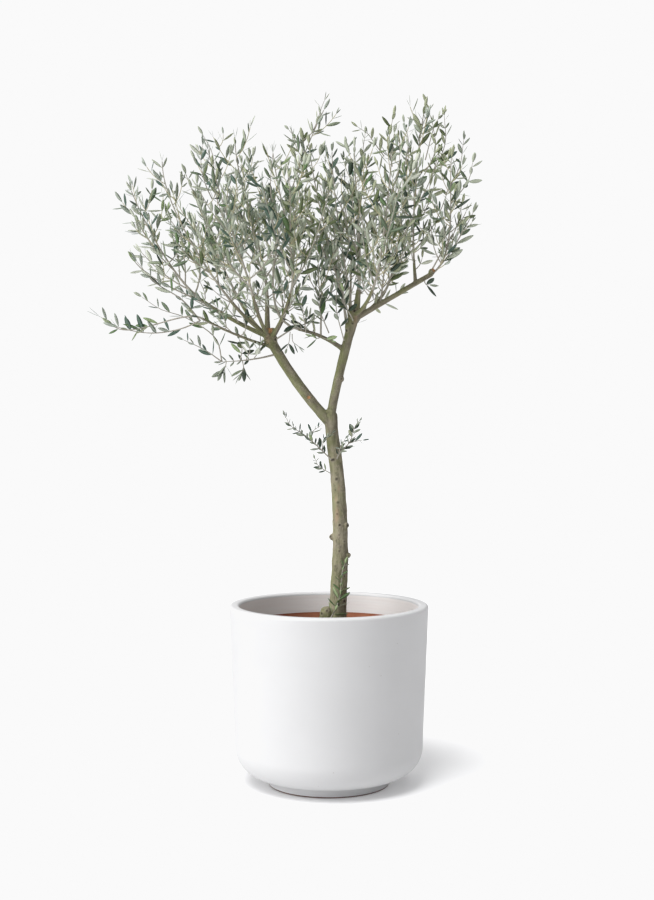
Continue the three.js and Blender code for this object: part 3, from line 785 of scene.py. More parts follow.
def add_leaves(owner, line, start, tint, vigour, draw, open_angle=(26, 60), lift=0.0,
               spacing=PAIR_SPACING, wide=1.0):
    pairs = max(1, round(line.length * (1 - start) / spacing))
    roll = draw() * math.pi
    for pair in range(pairs):
        along = mix(start, 1, (pair + 0.4) / pairs)
        root, heading = line.at(along), line.heading(along)
        across = unit(np.cross(heading, level(roll, 0.31)))
        if pair % 2:
            across = unit(np.cross(heading, across))
        length = LEAF_LENGTH * vigour * mix(1.0, LAST_LEAVES, along**2) * mix(*PAIR_DRAWN, draw())
        for hand in (1, -1):
            angle = math.radians(mix(*open_angle, draw()))
            ahead = heading * math.cos(angle) + hand * across * math.sin(angle)
            ahead = unit(ahead + UP * lift)
            face = unit(heading - ahead * (heading @ ahead) + 0.01 * UP)
            twist = math.radians(LEAF_TWIST) * (2 * draw() - 1)
            face = face * math.cos(twist) + np.cross(ahead, face) * math.sin(twist)
            face += 0.3 * UP
            size = length * mix(*LEAF_DRAWN, draw())
            width = size * mix(*LEAF_WIDTH, draw()) * wide
            shade = TINTS[int(draw() * len(TINTS))] if draw() < STRAY_TINTS else tint
            if draw() > FALLEN:
                leaf_rows.append((owner, root, ahead, face, size, width, shade))
    for side in (0.22, -0.22):
        ahead, face = unit(line.heading(1) + side * level(roll)), level(roll, 0.3)
        size = LEAF_LENGTH * vigour * mix(*END_PAIR, draw())
        leaf_rows.append((owner, line.at(1), ahead, face, size, size * 0.25 * wide, tint))


# %% Side twigs
def side_twig(parent, at, turn, length):
    start, heading = parent.at(at), parent.heading(at)
    side = level(turn)
    ahead = unit(heading + UP * 0.4)
    tip = start + unit(side * 0.75 + ahead) * length
    return Line(bezier(start, start + unit(side + ahead * 0.5) * length * 0.5, tip), 20)


def add_twig(age, line, foot, tip, steps):
    marks = np.linspace(0, 1, steps)
    twig_lines[age].append((line.at(marks), mix(foot, tip, marks)))

# %% Twigs and leaves of the masses
TWIG_EVERY, TWIGGED, TWIG_LENGTH = 80, (0.25, 0.8), (26, 58)
OLD_WOOD = 0.45  # share of a stem that is old wood, and bare of leaves
STEM_SEED, SHOOT_SEED, SPUR_SEED, LOW_SPUR_SEED, SPRAY_SEED = 7000, 9000, 400, 600, 5000
STEM_FOOT, SIDE_STEM_FOOT = 0.8, 2.1  # a share of the bough's tip, a radius
for owner, (row, stem) in enumerate(zip(STEMS, stems)):
    if owner in SPROUTS:
        continue
    at_tip = row.share == 1 and row.limb != "right_limb"
    thick = STEM_FOOT * limbs[row.limb][1][1] if at_tip else SIDE_STEM_FOOT
    marks = np.linspace(0, 1, 28)
    radii = mix(STEM_TIP, thick, (1 - marks) ** 1.3)
    twig_lines["old"].append((stem.at(marks), radii))
    draw = seeded(STEM_SEED + owner)
    add_leaves(owner, stem, OLD_WOOD, tint_with_painted_light_and_shade(stem.at(1), draw), 1.0, draw)
    for index, (at, line) in enumerate(shoots[owner]):
        draw = seeded(SHOOT_SEED + owner * 100 + index)
        tint = tint_with_painted_light_and_shade(line.at(1), draw)
        foot = min(mix(STEM_TIP, radii[0], (1 - at) ** 1.3) * 0.7, 1.8)
        add_twig("old" if at < OLD_WOOD else "young", line, foot, SHOOT_TIP, 9)
        add_leaves(owner, line, 0.12, tint, 1.0, draw)
        for number in range(int(line.length / TWIG_EVERY)):
            at_shoot = mix(*TWIGGED, draw())
            turn = index * GOLDEN_ANGLE + number * 2.4 + draw()
            twig = side_twig(line, at_shoot, turn, mix(*TWIG_LENGTH, draw()))
            if fits(owner, twig.at(np.array([0.5, 1.0]))).all():
                add_twig("young", twig, 1.0, TWIG_TIP, 5)
                add_leaves(owner, twig, 0.25, tint, 0.86, draw)
print("leaves on the masses:", len(leaf_rows))

# %% Spurs on the boughs
SPUR_EVERY, SPUR_LENGTH, SPURRED = 26, (26, 80), (0.42, 1.0)


def grow_spur(line, shares, turn, draw, age, foot, steps, bare, vigour):
    twig = side_twig(line, mix(*shares, draw()), turn, mix(*SPUR_LENGTH, draw()))
    add_twig(age, twig, foot, TWIG_TIP, steps)
    add_leaves(ANYWHERE, twig, bare, tint_with_painted_light_and_shade(twig.at(1), draw), vigour, draw)


for number, (name, (line, radii)) in enumerate(limbs.items()):
    if radii[0] > 7 or name == "right_limb":
        continue
    draw = seeded(SPUR_SEED + number)
    for spur in range(int(line.length / SPUR_EVERY)):
        turn = spur * GOLDEN_ANGLE + number
        grow_spur(line, SPURRED, turn, draw, "old", 1.3, 6, 0.3, 0.85)

# Spurs also fill the feet of the outer stems, where few shoots reach
LOW_SPUR_EVERY, LOW_SPURRED, CROWN_LEFT, CROWN_MIDDLE = 15, (0.02, 0.47), -350, (-90, 110)
for owner, stem in enumerate(stems):
    tip_x = stem.at(1)[0]
    if owner in SPROUTS or tip_x < CROWN_LEFT or CROWN_MIDDLE[0] < tip_x < CROWN_MIDDLE[1]:
        continue
    draw = seeded(LOW_SPUR_SEED + owner)
    for spur in range(int(0.45 * stem.length / LOW_SPUR_EVERY)):
        turn = spur * GOLDEN_ANGLE + owner
        grow_spur(stem, LOW_SPURRED, turn, draw, "young", 1.1, 5, 0.2, 0.95)
print("with the spurs:", len(leaf_rows))

# %% Sprays that stand free of the crown
# Tint, size, spacing and width of the leaves, bare share, lift, thickness, then the points
SPRAYS = table("""
blue 1.15 24 1.0 0.14 0.9 1.5 -252 -60 927 -291 -60 911 -350 -60 903 -419 -60 917 -446 -60 934
blue 1.0 26 1.0 0.1 0.5 1.8 -252 -58 927 -286 -70 967 -338 -80 1001 -372 -84 1040
sage 0.95 25 1.0 0.1 0.6 1.4 -213 -10 848 -224 -20 893 -282 -34 934 -332 -44 951 -367 -50 974
deep 0.7 14 1.25 0.5 0.2 2.4 -93 0 866 -140 -6 855 -177 -10 850 -213 -10 848
blue 0.8 15 1.15 0.2 0.3 1.3 -213 -10 848 -246 -14 871 -288 -18 891
deep 0.85 10 1.3 0.2 0.0 1.1 -177 -10 850 -173 -10 875 -181 -10 899
deep 1.0 6.5 1.2 0.3 -0.3 1.0 -172 -12 850 -170 -12 832 -176 -12 824
deep 1.0 6.5 1.2 0.3 -0.3 1.0 -204 -12 850 -206 -14 838 -212 -14 828
sage 0.75 12 1.2 0.2 0.0 1.1 -165 -14 851 -157 -16 871 -163 -16 891
deep 0.9 10 1.2 0.2 0.1 1.1 -150 -10 853 -140 -20 868 -136 -26 884
deep 0.54 6.5 1.25 0.15 0.2 1.5 8 -10 650 -45 -20 700 -75 -24 720 -87 -26 740
blue 0.54 8 1.25 0.2 0.2 1.0 -34 -20 688 -33 -22 708 -18 -24 720
deep 0.5 7 1.25 0.2 0.1 1.0 4 -10 625 -21 -16 641 -27 -18 654
deep 0.54 7 1.25 0.3 0.2 1.0 -14 -16 671 -10 -22 690 4 -26 704
deep 0.58 8 1.25 0.12 0.2 1.5 15 -10 651 20 -18 665 41 -24 688 53 -26 722 60 -26 730
blue 0.56 8 1.25 0.2 0.0 1.0 20 -18 665 24 -24 680 32 -28 694
blue 0.56 12 1.3 0.3 0.0 1.0 40 -24 686 54 -24 690 66 -22 692
fresh 0.68 8.5 1.4 0.06 0.0 1.5 3 -30 336 15 -31 360 23 -30 387 25 -28 414 27 -27 432 32 -27 446
fresh 0.8 14 1.2 0.2 -0.2 1.2 -14 -12 897 -8 -18 894 4 -22 890
fresh 0.75 14 1.2 0.2 -0.1 1.2 -16 -12 897 -24 -18 894 -31 -22 897
deep 0.9 9 1.2 0.2 0.0 1.1 -45 -20 905 -47 -26 918 -45 -30 934
sage 0.8 14 1.2 0.3 0.1 1.8 -105 -8 893 -69 -12 915 -33 -14 929 -10 -16 950
deep 0.8 14 1.2 0.5 -0.5 1.0 -77 -14 907 -79 -20 887 -83 -22 875
blue 0.85 14 1.2 0.4 -0.2 1.0 -73 -20 903 -71 -26 887 -61 -30 879
deep 0.95 7 1.2 0.4 0.0 1.2 190 -4 1010 193 -8 1002 199 -10 1001
olive 0.95 27 1.0 0.1 0.2 1.3 -49 0 1262 -50 0 1287 -36 0 1300 -25 0 1321 -14 0 1354 -9 0 1366
sage 0.7 13 1.1 0.1 0.2 1.0 -50 0 1276 -67 0 1294 -79 0 1308
olive 0.8 19 1.1 0.2 0.2 1.2 178 20 1288 190 20 1328 202 20 1352 196 20 1364
olive 0.72 20 1.1 0.2 0.2 1.2 193 20 1252 214 20 1326 226 20 1342
olive 0.8 15 1.1 0.1 0.0 1.2 110 0 1256 86 0 1289 78 0 1300 58 0 1314
deep 0.9 16 1.1 0.2 0.3 1.3 0 -18 905 -18 -50 950 -26 -60 1004
deep 0.9 16 1.1 0.2 0.3 1.3 30 -20 890 14 -60 955 18 -70 1008
blue 0.9 16 1.1 0.2 0.3 1.3 -45 -20 905 -52 -60 950 -64 -70 996
deep 0.9 16 1.1 0.2 0.3 1.3 48 -12 930 28 -70 975 44 -80 1024
olive 0.8 16 1.1 0.1 0.2 1.2 126 0 1236 120 0 1290 128 0 1336
sage 0.8 16 1.1 0.1 0.2 1.2 78 0 1220 68 0 1262 72 0 1300
sage 0.75 17 1.0 0.1 0.2 1.2 152 0 1240 158 0 1286 150 0 1322
sage 0.8 24 1.0 0.3 0.2 1.1 -228 0 1210 -232 0 1262 -250 0 1298
olive 0.85 16 1.1 0.1 0.1 1.2 206 10 1220 232 10 1284 230 10 1338
deep 0.85 16 1.1 0.1 0.1 1.2 232 0 1180 260 0 1236 268 0 1288
sage 0.85 16 1.1 0.2 0.1 1.2 242 -20 1160 276 -20 1206 284 -20 1240
olive 0.85 16 1.1 0.2 0.1 1.2 190 0 1220 212 0 1270 206 0 1322
olive 0.95 22 1.0 0.3 0.1 1.7 202 -4 1025 227 -6 1070 251 -10 1109 264 -14 1160
sage 0.85 18 1.0 0.15 0.1 1.2 -101 -163 1132 -108 -210 1156 -106 -244 1188 -102 -258 1222
olive 0.8 18 1.0 0.15 0.1 1.2 119 -149 1166 128 -196 1194 130 -228 1230 126 -242 1262
blue 0.8 18 1.0 0.15 0.1 1.2 -221 -153 1152 -232 -194 1180 -236 -222 1212 -232 -230 1240
""")
for number, (tint, size, spacing, wide, bare, lift, thick, *numbers) in enumerate(SPRAYS):
    points = np.reshape(numbers, (-1, 3))
    line, draw = Line(through(points), 60), seeded(SPRAY_SEED + number)
    add_twig("old", line, thick, TWIG_TIP, 4 * len(points))
    add_leaves(ANYWHERE, line, bare, tint, size, draw, (34, 66), lift, spacing, wide)
print("with", len(SPRAYS), "sprays:", len(leaf_rows))

# %% The leaves that are kept
owners, roots, aheads, faces, lengths, widths, tints = (np.array(c) for c in zip(*leaf_rows))
keep = owners == ANYWHERE
for owner in range(len(STEMS)):
    mine = np.flatnonzero(owners == owner)
    if len(mine):
        keep[mine] = fits(owner, roots[mine] + aheads[mine] * lengths[mine, None])
print(len(roots), "leaves tried,", keep.sum(), "kept;", {k: len(v) for k, v in twig_lines.items()})

# %% [markdown]
# ## Bark
# The trunk and boughs are one skin: at every fork the bark runs on without a seam. Tubes that
# poke into each other are joined by a voxel remesh, which melts the forks together, and a few
# rounds of smoothing take the steps out. The relief is then pushed into the mesh itself, because
# a bump alone vanishes at the outline: long shallow ridges that follow each limb, lumps, healed
# scars with a raised lip, and the swelling at the foot.


# %% Tubes and balls
def tube(line, radius_at, sides, step, overrun=0.0):
    rings = max(2, round(line.length / step))
    marks = np.linspace(0, 1, rings + 1)
    centres, headings = line.at(marks), line.heading(marks)
    centres[-1] += headings[-1] * overrun
    normal = unit(np.cross(headings[0], np.cross(headings[0], [0, 1, 0])))
    around = np.linspace(0, FULL_TURN, sides, endpoint=False)
    points = []
    for mark, centre, heading in zip(marks, centres, headings):
        normal = unit(normal - heading * (normal @ heading))
        side = np.cross(heading, normal)
        reach = np.array([radius_at(mark, a) for a in around])[:, None]
        ring = np.cos(around)[:, None] * normal + np.sin(around)[:, None] * side
        points.append(centre + ring * reach)
    points = np.vstack([*points, centres[:1], centres[-1:]])
    faces = []
    for low in range(0, rings * sides, sides):
        for k, n in ((k, (k + 1) % sides) for k in range(sides)):
            faces.append((low + k, low + n, low + sides + n, low + sides + k))
    foot, last = len(points) - 2, rings * sides
    faces += [(foot, (k + 1) % sides, k) for k in range(sides)]
    faces += [(foot + 1, last + k, last + (k + 1) % sides) for k in range(sides)]
    return points, faces


def ball(centre, radius, stretch):
    rows = [(0 if abs(a) == 90 else math.cos(math.radians(a)), math.sin(math.radians(a)), 0)
            for a in range(-90, 91, 15)]
    points, faces, _ = lathe(rows, 18)
    return points * radius * np.array(stretch) + np.array(centre), faces


# %% The tubes and lumps, melted
def trunk_radius(along, around):
    above = max(0.0, along * limbs["trunk"][0].length - 14)
    roots = 1 + 0.3 * math.cos(3 * around + 0.6) + 0.15 * math.cos(5 * around)
    ripple = 0.5 * math.sin(along * 23) * math.cos(around)
    flare = FLARE * roots * math.exp(-above / FLARE_HEIGHT)
    return mix(TRUNK_FOOT, TRUNK_TOP, along) + flare + ripple


solids = [tube(limbs["trunk"][0], trunk_radius, 40, 6)]
FLARED = {"left_bough": 1.6, "right_bough": 1.0}  # how much thicker where they leave the trunk
for name, (line, radii) in limbs.items():
    if name != "trunk":
        extra, run = FLARED.get(name, 0.2 * radii[0]), line.length

        def limb_radius(along, _, radii=radii, extra=extra, run=run):
            return mix(*radii, along) + extra * math.exp(-along * run / 24)

        solids.append(tube(line, limb_radius, 18, 6, overrun=1.5))
# Swellings: centre, radius, stretch along each axis
LUMPS = table("""
-4 -7 343 14 1 1 1.1 ; -1 -5 325 14 1 1 1.4 ; -13 -6 331 8 1 1 1.2
-7 -16 319 9 1 1 1 ; 38 -6 461 5.4 1 1 1 ; 5 0 497 4.4 0.9 1 1.5
34 -8 521 5 1 1 1.2 ; -116 -3 891 13.4 1 0.95 1.25 ; -112 -5 908 8.4 1 1 1
36 -2 893 6.5 1 1 1.2 ; 40 -3 916 8 1 1 1.5 ; 49 0 944 12.2 1 0.95 1.4
205 -3 1027 6.6 1 1 1 ; 26 -3 814 4.5 1 1 1.4 ; -1 -3 748 6 1 1 0.8
""")
solids += [ball(row[:3], row[3], row[4:]) for row in LUMPS]
MELT_VOXEL, EVEN_ROUNDS = 0.00145, 5
joined_points, joined_faces = [], []
for points, faces_here in solids:
    start = sum(map(len, joined_points))
    joined_points.append(points)
    joined_faces += [tuple(start + i for i in face) for face in faces_here]
bark = new_object("bark_tubes", np.vstack(joined_points) * MM, joined_faces)
melt = bark.modifiers.new("melt", "REMESH")
melt.mode, melt.voxel_size, melt.use_smooth_shade = "VOXEL", MELT_VOXEL, True
even = bark.modifiers.new("even", "SMOOTH")
even.factor, even.iterations = 0.5, EVEN_ROUNDS
bark = evaluated(bark, "trunk_and_boughs")
print("melted skin:", triangles(bark), "triangles")

# %% Where each point of the skin lies along its limb
count = len(bark.data.vertices)
skin, normals = np.empty((2, count * 3))
bark.data.vertices.foreach_get("co", skin)
bark.data.vertex_normals.foreach_get("vector", normals)
skin, normals = skin.reshape(-1, 3) / MM, normals.reshape(-1, 3)
marks, headings, reaches, runs = along_limbs(4)
nearest = np.empty(count, int)
for part in np.array_split(np.arange(count), 40):  # in parts, to save memory
    gaps = norm(skin[part, None] - marks[None], axis=2) - reaches
    nearest[part] = gaps.argmin(axis=1)
thickness, heading = reaches[nearest], headings[nearest]
offset = skin - marks[nearest]
past = (offset * heading).sum(axis=1)
side = unit(np.cross(heading, [0.02, 1, 0.03]))
front = np.cross(side, heading)
grain = np.stack(
    [(offset * side).sum(axis=1), (offset * front).sum(axis=1), runs[nearest] + past], axis=1
)
print(count, "points on the skin, measured against", len(marks), "points of the limbs")

# %% Scars, cuts and stains
# Scars: centre, radius, height of the lip, depth of the hole, darkness (the scar's own dark wood,
# and painted shade in its hole)
SCARS = table("""
9 -14 653 4.6 1.4 1.2 1.0 ; 4 -14 652 3.2 0.8 0.8 1.0 ; 15 -14 614 4.6 1.4 1.2 0.8
13 -14 592 3.0 0.8 0.4 0.5 ; 18 -15 567 4.4 1.4 0.8 0.7 ; 17 -15 545 3.6 1.1 0.4 0.6
21 -16 522 3.6 0.8 3.0 1.0 ; 36 -10 521 5.2 1.8 1.4 0.8 ; 7 -10 531 3.0 0.7 0.6 0.5
20 -15 502 3.0 0.8 0.5 0.6 ; 30 -12 490 3.4 0.9 0.4 0.5 ; 21 -16 470 3.2 1.0 0.6 0.6
41 -4 461 4.4 1.0 1.2 0.9 ; 2 -3 498 4.6 0.8 1.2 0.9 ; 12 -15 440 4.0 1.0 0.6 0.5
31 -12 420 3.4 0.8 0.6 0.6 ; 33 -12 369 4.2 0.8 2.0 1.0 ; 20 -17 362 3.4 0.7 1.0 0.9
24 -6 814 3.4 1.0 0.6 0.6 ; -14 -16 345 4.5 1.0 1.6 0.9 ; -22 -10 330 4.0 0.8 1.6 0.9
-3 -18 350 3.6 0.8 1.4 0.8 ; 34 -9 910 4.4 1.0 2.0 1.0 ; 47 -11 925 3.8 1.1 1.4 0.8
52 -10 948 4.6 0.7 2.2 1.0 ; 42 -10 938 4.0 0.9 1.4 0.9 ; -106 -11 893 4.4 0.8 1.8 1.0
-122 -12 894 6.5 2.0 0.6 0.35 ; 20 14 590 4.0 1.2 1.0 0.7 ; 27 15 440 3.6 1.1 0.8 0.6
24 16 505 3.0 1.0 0.5 0.5
""")
# Saw cuts: centre, direction, radius
CUTS = table("""
-120 -10 910 -0.1 -0.74 0.67 8.0 ; 209 -5 1031 0.75 -0.6 0.25 5.0
-40 -8.5 777 -0.35 -0.93 0.1 3.4
""")
MOSSY = table("""
40 -8 930 13 0.9 ; -116 -6 884 10 0.6 ; 34 -8 900 9 0.5
-8 -14 330 22 0.7 ; 8 -14 690 12 0.5 ; 18 -14 390 40 0.35
""")
FLUSH = table("""
16 -15 548 4 ; 13 -14 534 4 ; 17 -15 540 3.4 ; 20 -15 596 3 ; 14 -15 575 3
-121 -14 893 4.5 ; 54 -11 931 4.5
""")
FLUSH_STRETCH = 2.6  # how much longer than wide a flushed streak is
THIN_LIMB = 6.5  # the radius under which bark pales
THICK_LIMB = 15  # the radius from which the relief is at full strength
BOUGHS_FROM, WEATHERED_BELOW, FOOT_FADE = 740, 760, 26
print(len(SCARS), "scars,", len(CUTS), "saw cuts,", len(MOSSY) + len(FLUSH), "stains")


# %% Relief and weather from noise
def away_from(centre, stretch=(1, 1, 1)):
    return norm((skin - np.array(centre)) / np.array(stretch), axis=1)


def bell(gap, width):
    return np.exp(-((gap / width) ** 2))


moss, scar_and_painted_shade, cut, flush, lips, pale_and_painted_light, push = np.zeros((7, count))
strength = np.clip(thickness / THICK_LIMB, 0.16, 1.1)
for i in range(count):
    x, y, z = grain[i]
    ridge = wander(x * 0.42, y * 0.42, z * 0.055)
    fibre = wander(x * 1.1, y * 1.1, z * 0.16 + 40)
    lump = wander(x * 0.09, y * 0.09, z * 0.035 + 90)
    push[i] = (0.75 * ridge + 0.36 * fibre + 1.0 * lump) * strength[i]
    green = noise.noise(Vector(skin[i]) * 0.03) + 0.5 * noise.noise(Vector(skin[i]) * 0.11)
    moss[i] = 0.30 + 0.75 * green - 0.35 * normals[i][0]
    streak = wander(x * 0.22, y * 0.22, z * 0.045 + 7)
    speck = wander(x * 0.75, y * 0.75, z * 0.28 + 55)
    # pale: streaks and specks of weathered bark, plus painted light: paler on the side that faces
    # the lamps on the left
    pale_and_painted_light[i] = 0.6 + 1.0 * streak + 1.1 * speck - 0.5 * normals[i][0]
print("relief from noise, mm:", round(push.min(), 2), "to", round(push.max(), 2))

# %% Scars, moss and the knobbly foot
for *centre, radius, lip, hole, darkness in SCARS:
    on_skin = skin[away_from(centre).argmin()]
    gap = away_from(on_skin)
    push += 1.5 * lip * bell(gap, radius)
    push -= 1.3 * hole * bell(gap, 0.45 * radius)
    # the dark of the scar: its own wood, and painted shade in the hole
    scar_and_painted_shade += 1.2 * darkness * bell(gap, 0.6 * radius)
    lips += darkness * bell(gap - 0.95 * radius, 0.32 * radius)
bough = np.clip((skin[:, 2] - BOUGHS_FROM) / 60, 0, 1)
moss += 0.7 * bough * np.clip(-0.9 * normals[:, 0] - 0.4 * normals[:, 2], 0, 1)
for *centre, radius, amount in MOSSY:
    moss += amount * bell(away_from(centre), radius)
foot = np.exp(-np.maximum(skin[:, 2] - SOIL_LEVEL, 0) / FOOT_FADE) * (skin[:, 0] < 6)
for i in np.flatnonzero(foot > 0.05):
    knobble = noise.noise(Vector(skin[i]) * 0.14) + 0.5 * noise.noise(Vector(skin[i]) * 0.33)
    push[i] += 3.4 * foot[i] * knobble
    # painted shade in the crevices, where the knobbles push the skin in
    scar_and_painted_shade[i] += 0.9 * foot[i] * max(0.0, -knobble - 0.1)
moss = np.clip(moss + 0.8 * foot, 0, 1)
print("relief in all, mm:", round(push.min(), 2), "to", round(push.max(), 2))

# %% Saw cuts, and the masks stored on the mesh
pale_and_painted_light *= np.clip((WEATHERED_BELOW - skin[:, 2]) / 90, 0.3, 1)  # paler on the trunk below the boughs
skin += normals * push[:, None]
for *numbers, radius in CUTS:
    centre, direction = np.array(numbers[:3]), unit(np.array(numbers[3:]))
    away = skin - centre
    height = away @ direction
    gap = norm(away - height[:, None] * direction, axis=1)
    on_face = (gap < radius) & (height > -2.5) & (height < 8)
    skin[on_face] -= direction * height[on_face, None]
    cut = np.maximum(cut, on_face * (normals @ direction > 0.1))
for *centre, radius in FLUSH:
    flush += bell(away_from(centre, (1, 1, FLUSH_STRETCH)), radius)
bark.data.vertices.foreach_set("co", (skin * MM).ravel())
attribute(bark, "grain", grain * MM)
masks = {"moss": moss, "scar_and_painted_shade": scar_and_painted_shade, "cut": cut, "flush": flush, "lips": lips, "pale_and_painted_light": pale_and_painted_light,
         "thin": (THIN_LIMB - thickness) / 3}
for label, values in masks.items():
    attribute(bark, label, np.clip(values, -1 if label == "scar_and_painted_shade" else 0, 1))
bark.data.update()
print("masks on the bark:", ", ".join(masks))

# %% [markdown]
# ## The bark's finish
# Olive bark at this age is smooth and grey-brown with a green film of algae, darker in the scars,
# orange on a fresh cut, and paler on thin boughs. The dark of the scars is partly their own wood
# and partly painted shade in their holes, and the crevices of the foot carry painted shade too.
# The pale streaks are lighter on the side that faces the light, which is painted light. The mesh
# carries a mask for each of these, so the material only has to blend one colour over another where
# a mask says so. The pattern follows the attribute that runs along each limb, which draws the
# streaks out lengthwise.

# %% Bark material
BARK = finish("olive_bark", (0.340, 0.308, 0.218), (0.115, 0.100, 0.070), 110, 420, (0.78, 0.95),
              0.0014, contrast=3.6, grain_share=0.4, stretch=(1, 1, 0.35), pattern="grain")
tree = BARK.node_tree
for label, shade, share in (
    ("thin", (0.235, 0.205, 0.160), 0.6), ("pale_and_painted_light", (0.52, 0.46, 0.34), 0.55),
    ("moss", (0.205, 0.240, 0.075), 0.6), ("flush", (0.50, 0.33, 0.22), 0.5),
    ("lips", (0.46, 0.40, 0.30), 0.5), ("scar_and_painted_shade", (0.035, 0.026, 0.022), 0.95),
    ("cut", (0.50, 0.25, 0.115), 0.9),
):
    mask = add(tree, "ShaderNodeAttribute", attribute_name=label).outputs["Fac"]
    overlay(BARK, math_node(tree, "MULTIPLY", mask, share, clamp=True), shade)
bark.data.materials.append(BARK)
finished(bark, "bark", *limbs)

# %% [markdown]
# ## Twigs
# A twig is a thin tube along a path, and there are about five hundred. Geometry Nodes turn
# paths into tubes in one go: each path is a chain of edges that carries a thickness, Mesh to Curve
# makes it a curve, and Curve to Mesh sweeps a circle along it with closed ends. Old wood is grey,
# and this year's growth is tan, so there are two pieces.

# %% Twigs from paths
OLD_TWIG = finish("old_twig", (0.56, 0.53, 0.46), (0.36, 0.33, 0.27), 60, 900, (0.8, 0.95), 0.0003,
                  stretch=(1, 1, 0.5))
YOUNG_TWIG = finish("young_twig", (0.68, 0.61, 0.40), (0.52, 0.49, 0.29), 60, 900, (0.7, 0.9),
                    0.0002, stretch=(1, 1, 0.5))


def named(tree, label, kind):
    return add(tree, "GeometryNodeInputNamedAttribute", {"Name": label}, data_type=kind)


SWEEP, given, result = node_group(
    "swept twigs", "GeometryNodeTree",
    {"Geometry": "Geometry", "Sides": "Int", "Finish": "Material"},
    {"Geometry": "Geometry"},
)
chain = add(SWEEP, "GeometryNodeMeshToCurve", {"Mesh": given["Geometry"]})
thick = named(SWEEP, "thickness", "FLOAT")
ring = add(SWEEP, "GeometryNodeCurvePrimitiveCircle", {"Resolution": given["Sides"], "Radius": 1.0})
swept = add(SWEEP, "GeometryNodeCurveToMesh",
            {"Curve": chain, "Profile Curve": ring, "Scale": thick, "Fill Caps": True})
soft = add(SWEEP, "GeometryNodeSetShadeSmooth", {"Geometry": swept})
real_and_worn(SWEEP, soft, given["Finish"], result)
mass_names = [row[0] for row in MASSES]
for age, sides, material in (("old", 8, OLD_TWIG), ("young", 5, YOUNG_TWIG)):
    points = np.vstack([path for path, _ in twig_lines[age]])
    radii = np.concatenate([radius for _, radius in twig_lines[age]])
    edges, start = [], 0
    for path, _ in twig_lines[age]:
        edges += [(start + i, start + i + 1) for i in range(len(path) - 1)]
        start += len(path)
    chains = new_object("twig_paths", points * MM, edges=edges)
    attribute(chains, "thickness", radii * MM)
    twigs = grow(chains, SWEEP, f"{age}_twigs", Sides=sides, Finish=material)
    finished(twigs, "bark", *mass_names)

# %% [markdown]
# ## Leaves
# An olive leaf is a narrow ellipse on a short stalk, dull green above and silvery below, with its
# edges rolled down a little. One leaf is modelled as a closed blade of a few dozen faces, in three
# bends, and set on every root with its own direction and size. The upper and lower faces are told
# apart by an attribute, so each can have its own colour. Six pairs of colours are dealt out by
# spray, which is what gives a real crown its flicker of grey and green.

# %% One leaf
# Share of the length, half width as a share of the full width
BLADE = [(0.06, 0.06), (0.15, 0.22), (0.32, 0.42), (0.53, 0.5), (0.75, 0.42), (0.93, 0.19)]
BENDS = [(0.02, 0.00), (-0.09, 0.04), (-0.17, -0.05)]  # rise of the tip, sideways bend


def leaf_mesh(name, rise, sideways):
    """A closed leaf of length 1 along X, with its upper face towards Z."""
    points = [(0, 0, 0)]
    for x, half in BLADE:
        middle = sideways * math.sin(math.pi * x)
        arch = rise * x * x
        roll = 0.16 * half
        points += [(x, middle + half, arch - roll), (x, middle, arch),
                   (x, middle - half, arch - roll), (x, middle, arch - 0.055)]
    points.append((1, 0, rise))
    last, faces_here = len(points) - 1, []
    for k in range(4):  # two strips above, then two below
        n = (k + 1) % 4
        faces_here.append((0, 1 + n, 1 + k))
        faces_here += [(a + k, a + n, a + 4 + n, a + 4 + k) for a in range(1, last - 4, 4)]
        faces_here.append((last - 4 + k, last - 4 + n, last))
    made = new_object(name, points, faces_here)
    layer = made.data.attributes.new("underside", "BOOLEAN", "FACE")
    under = [number >= len(faces_here) / 2 for number in range(len(faces_here))]
    layer.data.foreach_set("value", under)
    return made


leaf_forms = [leaf_mesh(f"leaf_form_{i}", *bend) for i, bend in enumerate(BENDS)]
print(len(leaf_forms), "forms of", len(leaf_forms[0].data.polygons), "faces")

# %% Leaves on their roots
PLACE, given, result = node_group(
    "leaves on roots", "GeometryNodeTree",
    {"Geometry": "Geometry", **{f"Form {i}": "Object" for i in range(len(BENDS))},
     "Upper": "Material", "Lower": "Material"},
    {"Geometry": "Geometry"},
)
forms = add(PLACE, "GeometryNodeGeometryToInstance")
for i in range(len(BENDS)):
    form = add(PLACE, "GeometryNodeObjectInfo", {"Object": given[f"Form {i}"]})
    PLACE.links.new(form.outputs["Geometry"], forms.inputs[0])
aim = add(
    PLACE, "FunctionNodeAxesToRotation",
    {0: named(PLACE, "ahead", "FLOAT_VECTOR"), 1: named(PLACE, "face", "FLOAT_VECTOR")},
    primary_axis="X", secondary_axis="Z",
)
placed = add(
    PLACE, "GeometryNodeInstanceOnPoints",
    {"Points": given["Geometry"], "Instance": forms, "Pick Instance": True,
     "Instance Index": named(PLACE, "form", "INT"), "Rotation": aim,
     "Scale": named(PLACE, "size", "FLOAT_VECTOR")},
)
real = add(PLACE, "GeometryNodeRealizeInstances", {0: placed})
upper = add(PLACE, "GeometryNodeSetMaterial", {"Geometry": real, "Material": given["Upper"]})
lower = add(PLACE, "GeometryNodeSetMaterial",
            {"Geometry": upper, "Selection": named(PLACE, "underside", "BOOLEAN"),
             "Material": given["Lower"]})
fill(PLACE, result, {"Geometry": lower})
print(PLACE.name, "is a tree of", len(PLACE.nodes), "nodes")

